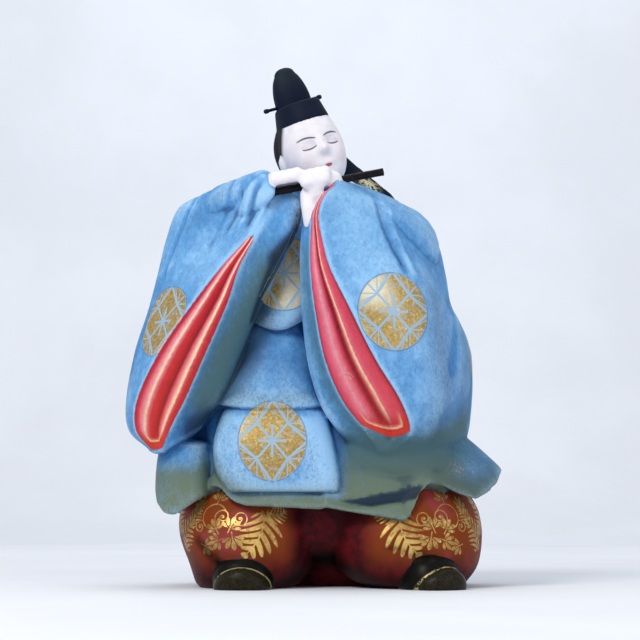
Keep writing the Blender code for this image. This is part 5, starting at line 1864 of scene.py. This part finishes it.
def flute_tree(materials):
    """A bamboo tube with bands of winding."""
    tree = bpy.data.node_groups.new("wound_flute", "GeometryNodeTree")
    sockets = {}
    for title, kind, default, low, high in (
        ("Length", "NodeSocketFloat", 0.064, 0.02, 0.6),
        ("Radius", "NodeSocketFloat", 0.00192, 0.0005, 0.02),
        ("Bands", "NodeSocketInt", 9, 2, 40),
        ("Band width", "NodeSocketFloat", 0.0009, 0.0002, 0.01),
        ("Band rise", "NodeSocketFloat", 0.00008, 0.0, 0.002),
    ):
        made = tree.interface.new_socket(title, in_out="INPUT", socket_type=kind)
        made.default_value = default
        made.min_value = low
        made.max_value = high
        sockets[title] = made
    tree.interface.new_socket("Geometry", in_out="OUTPUT", socket_type="NodeSocketGeometry")
    ink = Ink(tree)
    taken = ink.node("NodeGroupInput").outputs
    given = ink.node("NodeGroupOutput").inputs

    tube_line = ink.node("GeometryNodeCurvePrimitiveLine")
    ink.feed(tube_line.inputs["End"], ink.joined(taken["Length"], 0.0, 0.0))
    finer = ink.node("GeometryNodeResampleCurve")
    ink.feed(finer.inputs["Curve"], tube_line.outputs[0])
    finer.inputs["Count"].default_value = 60
    profile = ink.node("GeometryNodeCurvePrimitiveCircle")
    profile.inputs["Resolution"].default_value = 40
    ink.feed(profile.inputs["Radius"], taken["Radius"])
    skin = ink.node("GeometryNodeCurveToMesh")
    ink.feed(skin.inputs["Curve"], finer.outputs[0])
    ink.feed(skin.inputs["Profile Curve"], profile.outputs[0])
    skin.inputs["Fill Caps"].default_value = True
    wood = ink.node("GeometryNodeSetMaterial")
    ink.feed(wood.inputs["Geometry"], skin.outputs[0])
    wood.inputs["Material"].default_value = materials[0]

    spots = ink.node("GeometryNodeResampleCurve")
    ink.feed(spots.inputs["Curve"], tube_line.outputs[0])
    ink.feed(spots.inputs["Count"], taken["Bands"])
    ring = ink.node("GeometryNodeMeshCylinder")
    ring.inputs["Vertices"].default_value = 40
    ink.feed(ring.inputs["Radius"], ink.add(taken["Radius"], taken["Band rise"]))
    ink.feed(ring.inputs["Depth"], taken["Band width"])
    turned = ink.node("GeometryNodeTransform")
    ink.feed(turned.inputs["Geometry"], ring.outputs["Mesh"])
    turned.inputs["Rotation"].default_value = (0.0, math.pi / 2, 0.0)
    bands = ink.node("GeometryNodeInstanceOnPoints")
    ink.feed(bands.inputs["Points"], spots.outputs[0])
    ink.feed(bands.inputs["Instance"], turned.outputs[0])
    real = ink.node("GeometryNodeRealizeInstances")
    ink.feed(real.inputs[0], bands.outputs[0])
    thread = ink.node("GeometryNodeSetMaterial")
    ink.feed(thread.inputs["Geometry"], real.outputs[0])
    thread.inputs["Material"].default_value = materials[1]

    join = ink.node("GeometryNodeJoinGeometry")
    ink.feed(join.inputs[0], wood.outputs[0])
    ink.feed(join.inputs[0], thread.outputs[0])
    smooth = ink.node("GeometryNodeSetShadeSmooth")
    ink.feed(smooth.inputs["Geometry"], join.outputs[0])
    ink.feed(given["Geometry"], smooth.outputs[0])
    return tree, sockets


def grown(tree, sockets, values, name):
    """The plain mesh that a geometry tree gives for these values."""
    seed = bpy.data.objects.new(name, bpy.data.meshes.new(name))
    bpy.context.scene.collection.objects.link(seed)
    grow = seed.modifiers.new(name, "NODES")
    grow.node_group = tree
    for title, value in values.items():
        grow[sockets[title].identifier] = value
    graph = bpy.context.evaluated_depsgraph_get()
    data = bpy.data.meshes.new_from_object(seed.evaluated_get(graph))
    seed.modifiers.remove(grow)
    bpy.data.objects.remove(seed)
    return data


def pin_mesh():
    """The pin through the cap: a round rod with a low knob at each end."""
    low, high = PIN_REACH
    rows = [(low, 0.35), (low + 0.25, 0.9), (low + 0.8, PIN_RADIUS), (low + 2.2, PIN_RADIUS), (low + 3, 0.85)]
    rows += [(high - (x - low), r) for x, r in reversed(rows)]
    rings = np.array([
        [(x, PIN_PLACE[1] + r * math.cos(t), PIN_PLACE[2] + r * math.sin(t))
         for t in np.linspace(0, 2 * math.pi, 32, endpoint=False)]
        for x, r in rows
    ])
    shell = Shell("cap", rings, head_place())
    data = bpy.data.meshes.new("cap_pin")
    data.from_pydata((shell.points * MM).tolist(), [], shell.quads.tolist() + shell.fans.tolist())
    data.update()
    return data


def tone(name, description, hexed):
    """A colour that can be set."""
    return FloatVectorProperty(
        name=name, description=description, subtype="COLOR", default=colour(hexed), min=0, max=1)


class PaintSettings(bpy.types.PropertyGroup):
    """The colours that the doll is painted in."""

    robe_blue: tone("Robe blue", "Ground of the robe", "4A98D4")
    robe_shade: tone("Robe shade", "Darker blue sponged into the ground", "3A7AB8")
    # Painted highlight colour of the rims, ridges and upper parts.
    robe_highlight: tone("Robe bloom", "Pale blue on the rims and ridges", "8FC2EC")
    # Painted shade in the folds near the hems.
    robe_green_shade: tone("Robe dusk", "Dark grey-green in the folds near the hems", "283F48")
    # Painted highlight on the sharpest rims.
    edge_highlight_blue: tone("Robe rims", "Nearly white blue rubbed over the sharpest rims", "BFD9EA")
    robe_line: tone("Crest lines", "Grey blue of the lines between the gold of a crest", "9DB9CC")
    # Painted shade in the folds, and the dark outline of the crests and of the linings' edges.
    robe_outline_and_shade: tone("Robe hollows", "Deep blue in the folds", "24487A")
    # Painted shade in the deepest folds.
    robe_darkest_shade: tone("Robe darkest hollows", "Nearly black blue in the deepest folds", "16283A")
    # Partly the robe's own grey blue, partly painted shade inside the sleeves.
    robe_teal: tone("Robe folds", "Grey blue inside the sleeves", "486A72")
    robe_moss: tone("Robe hems", "Grey-green towards the hems", "637360")
    wine: tone("Trouser red", "Ground of the trousers", "62151C")
    wine_dark: tone("Trouser shade", "Darker red clouded into the ground", "3C0E12")
    wine_glow: tone("Trouser glow", "Orange brown under the gold pattern", "823A14")
    # Painted shade in the folds of the trousers.
    wine_hollow_shade: tone("Trouser hollows", "Near black in the folds of the trousers", "020203")
    gold: tone("Gold", "Gold paint of the patterns", "C4A45C")
    gold_dark: tone("Worn gold", "Gold where it has worn thin", "9C824A")
    gold_light: tone("Bright gold", "Gold where it is thick", "E8DEB0")
    skin: tone("Skin", "White of the face and hands", "E6E0E6")
    skin_light: tone("Skin light", "Lighter white clouded into the skin", "F1EEF2")
    skin_shade: tone("Skin shade", "Lilac grey in the hollows of the skin", "C2B8CA")
    hair: tone("Hair", "Black of the hair", "24242A")
    cap_black: tone("Cap", "Black of the cap and the ribbon", "060C1A")
    cap_navy: tone("Cap sheen", "Navy where the weave of the cap catches light", "12203A")
    bamboo: tone("Bamboo", "Brown of the flute's grain", "1C1516")
    bamboo_dark: tone("Bamboo lacquer", "Black-brown lacquer of the flute", "0B090B")


class ClaySettings(bpy.types.PropertyGroup):
    """How the clay figure is fused and softened."""

    grain: FloatProperty(
        name="Grain", description="Size of the grain that the shells are fused with", subtype="DISTANCE",
        unit="LENGTH", default=CLAY_GRAIN * MM, min=0.0004, max=0.004, precision=5)
    smoothing: IntProperty(
        name="Smoothing", description="Rounds of softening over the fused skin", default=6, min=0, max=40)
    triangles: IntProperty(
        name="Most triangles", description="Triangles that the figure may keep",
        default=190000, min=20000, max=199000)


class FluteSettings(bpy.types.PropertyGroup):
    """The side-blown flute."""

    radius: FloatProperty(
        name="Radius", description="Radius of the bamboo tube", subtype="DISTANCE", unit="LENGTH",
        default=0.00192, min=0.0005, max=0.01, precision=5)
    bands: IntProperty(
        name="Bands", description="Bands of winding along the tube", default=9, min=2, max=40)
    band_width: FloatProperty(
        name="Band width", description="Width of each band of winding", subtype="DISTANCE", unit="LENGTH",
        default=0.0009, min=0.0002, max=0.01, precision=5)


class StageSettings(bpy.types.PropertyGroup):
    """The floor, the light and the camera."""

    backdrop: tone("Backdrop", "Colour of the floor and the wall", "E9ECF1")
    key_power: FloatProperty(
        name="Key light", description="Power of the large light at the front left", unit="POWER",
        default=9.0, min=0, max=1000)
    fill_power: FloatProperty(
        name="Fill light", description="Power of the light at the right", unit="POWER",
        default=2.2, min=0, max=1000)
    wall_power: FloatProperty(
        name="Wall light", description="Power of the light on the wall behind the doll", unit="POWER",
        default=7.0, min=0, max=1000)
    focal_length: FloatProperty(
        name="Focal length", description="Focal length of the camera in millimetres", default=1865 / 640 * 36,
        min=20, max=400)
    lift: FloatProperty(
        name="Camera lift", description="How far the camera looks up", subtype="ANGLE", unit="ROTATION",
        default=math.radians(5.806), min=-1.5, max=1.5)


class DollSettings(bpy.types.PropertyGroup):
    """Everything that can be set on the doll."""

    paint: PointerProperty(type=PaintSettings)
    clay: PointerProperty(type=ClaySettings)
    flute: PointerProperty(type=FluteSettings)
    stage: PointerProperty(type=StageSettings)


class DOLL_OT_figure(bpy.types.Operator):
    """Builds the painted clay figure"""

    bl_idname = "doll.figure"
    bl_label = "Clay figure"
    bl_options = {"REGISTER", "UNDO"}

    def execute(self, context):
        settings = context.scene.doll
        data = figure_mesh(settings.clay)
        slots = paint_faces(data)
        for made in (robe_material, trousers_material, head_material, shoe_material):
            data.materials.append(made(settings.paint))
        data.polygons.foreach_set("material_index", slots)
        data.shade_smooth()
        placed("clay_figure", data, "figure")
        return {"FINISHED"}


class DOLL_OT_flute(bpy.types.Operator):
    """Builds the bamboo flute with its bands of winding"""

    bl_idname = "doll.flute"
    bl_label = "Flute"
    bl_options = {"REGISTER", "UNDO"}

    def execute(self, context):
        settings = context.scene.doll
        bottom, top = (Vector(end) * MM for end in FLUTE_ENDS)
        run = top - bottom
        materials = (
            flute_material(settings.paint),
            lacquer_material(settings.paint, "winding_black", settings.paint.cap_black),
        )
        tree, sockets = flute_tree(materials)
        values = {
            "Length": run.length,
            "Radius": settings.flute.radius,
            "Bands": settings.flute.bands,
            "Band width": settings.flute.band_width,
        }
        data = grown(tree, sockets, values, "flute")
        data.transform(Matrix.Translation(bottom) @ run.to_track_quat("X", "Z").to_matrix().to_4x4())
        placed("bamboo_flute", data, "flute")
        return {"FINISHED"}


class DOLL_OT_pin(bpy.types.Operator):
    """Builds the pin through the cap"""

    bl_idname = "doll.pin"
    bl_label = "Cap pin"
    bl_options = {"REGISTER", "UNDO"}

    def execute(self, context):
        data = pin_mesh()
        paint = context.scene.doll.paint
        data.materials.append(lacquer_material(paint, "pin_lacquer", paint.cap_black))
        data.shade_smooth()
        placed("lacquered_pin", data, "cap_pin")
        return {"FINISHED"}


def lamp(name, place, aim, power, size, tone):
    """A soft square light that looks at a point."""
    light = bpy.data.lights.new(name, "AREA")
    light.energy = power
    light.size = size
    light.color = tone
    thing = bpy.data.objects.new(name, light)
    thing.location = place
    thing.rotation_euler = (Vector(aim) - Vector(place)).to_track_quat("-Z", "Y").to_euler()
    bpy.context.scene.collection.objects.link(thing)


# The backdrop, in metres: how far it reaches to the front and sides, where it bends up, how round, its top.
BACKDROP_REACH = 3.0
BACKDROP_BEND = 1.2
BACKDROP_ROUND = 0.5
BACKDROP_TOP = 2.4
ROOM_TONE = (0.87, 0.9, 0.96, 1)
ROOM_STRENGTH = 0.56


def backdrop_mesh():
    """A floor that curves up into a wall behind the doll."""
    path = [(-BACKDROP_REACH, 0.0), (BACKDROP_BEND, 0.0)]
    for turn in np.linspace(0.1, math.pi / 2, 14):
        path.append((BACKDROP_BEND + BACKDROP_ROUND * math.sin(turn), BACKDROP_ROUND * (1 - math.cos(turn))))
    path.append((BACKDROP_BEND + BACKDROP_ROUND, BACKDROP_TOP))
    points = [(side, y, z) for y, z in path for side in (-BACKDROP_REACH, BACKDROP_REACH)]
    faces = [(2 * i, 2 * i + 1, 2 * i + 3, 2 * i + 2) for i in range(len(path) - 1)]
    data = bpy.data.meshes.new("backdrop")
    data.from_pydata(points, [], faces)
    data.shade_smooth()
    return data


class DOLL_OT_stage(bpy.types.Operator):
    """Builds the backdrop, the lights and the camera"""

    bl_idname = "doll.stage"
    bl_label = "Stage"
    bl_options = {"REGISTER", "UNDO"}

    def execute(self, context):
        scene = context.scene
        settings = scene.doll.stage
        data = backdrop_mesh()
        data.materials.append(plain_material("pale_paper", settings.backdrop, 0.9))
        backdrop = bpy.data.objects.new("backdrop", data)
        scene.collection.objects.link(backdrop)
        aim = (0, 0, 0.13)
        lamp("key", (-0.55, -0.9, 0.95), aim, settings.key_power, 0.45, (1.0, 0.98, 0.95))
        lamp("fill", (0.85, -0.7, 0.45), aim, settings.fill_power, 0.7, (0.92, 0.96, 1.0))
        lamp("top", (0.0, 0.1, 1.1), aim, settings.fill_power, 0.6, (1.0, 1.0, 1.0))
        lamp("wall", (0.0, 0.5, 1.25), (0, 1.7, 0.95), settings.wall_power, 0.8, (0.97, 0.98, 1.0))
        world = bpy.data.worlds.new("pale_room")
        world.use_nodes = True
        glow = world.node_tree.nodes["Background"]
        glow.inputs["Color"].default_value = ROOM_TONE
        glow.inputs["Strength"].default_value = ROOM_STRENGTH
        scene.world = world
        camera = bpy.data.cameras.new("camera")
        camera.sensor_width = 36
        camera.lens = settings.focal_length
        eye = bpy.data.objects.new("camera", camera)
        eye.location = (0, -1.0, 0.04)
        eye.rotation_euler = (math.radians(90) + settings.lift, 0, 0)
        scene.collection.objects.link(eye)
        scene.camera = eye
        scene.view_settings.view_transform = "Standard"
        return {"FINISHED"}


class DOLL_PT_panel(bpy.types.Panel):
    """The doll's settings and its build buttons"""

    bl_idname = "DOLL_PT_panel"
    bl_label = "Clay court musician"
    bl_space_type = "VIEW_3D"
    bl_region_type = "UI"
    bl_category = "Doll"

    def draw(self, context):
        settings = context.scene.doll
        for title, name, operator in (
            ("Clay", "clay", "doll.figure"),
            ("Flute", "flute", "doll.flute"),
            ("Paint", "paint", "doll.pin"),
            ("Stage", "stage", "doll.stage"),
        ):
            box = self.layout.box()
            box.label(text=title)
            group = getattr(settings, name)
            for key in group.__annotations__:
                box.prop(group, key)
            box.operator(operator)


CLASSES = (
    PaintSettings, ClaySettings, FluteSettings, StageSettings, DollSettings,
    DOLL_OT_figure, DOLL_OT_flute, DOLL_OT_pin, DOLL_OT_stage, DOLL_PT_panel,
)


def register():
    for made in CLASSES:
        bpy.utils.register_class(made)
    bpy.types.Scene.doll = PointerProperty(type=DollSettings)


def unregister():
    del bpy.types.Scene.doll
    for made in reversed(CLASSES):
        bpy.utils.unregister_class(made)


def main():
    register()
    for build in (bpy.ops.doll.figure, bpy.ops.doll.flute, bpy.ops.doll.pin, bpy.ops.doll.stage):
        build()


if __name__ == "__main__":
    main()
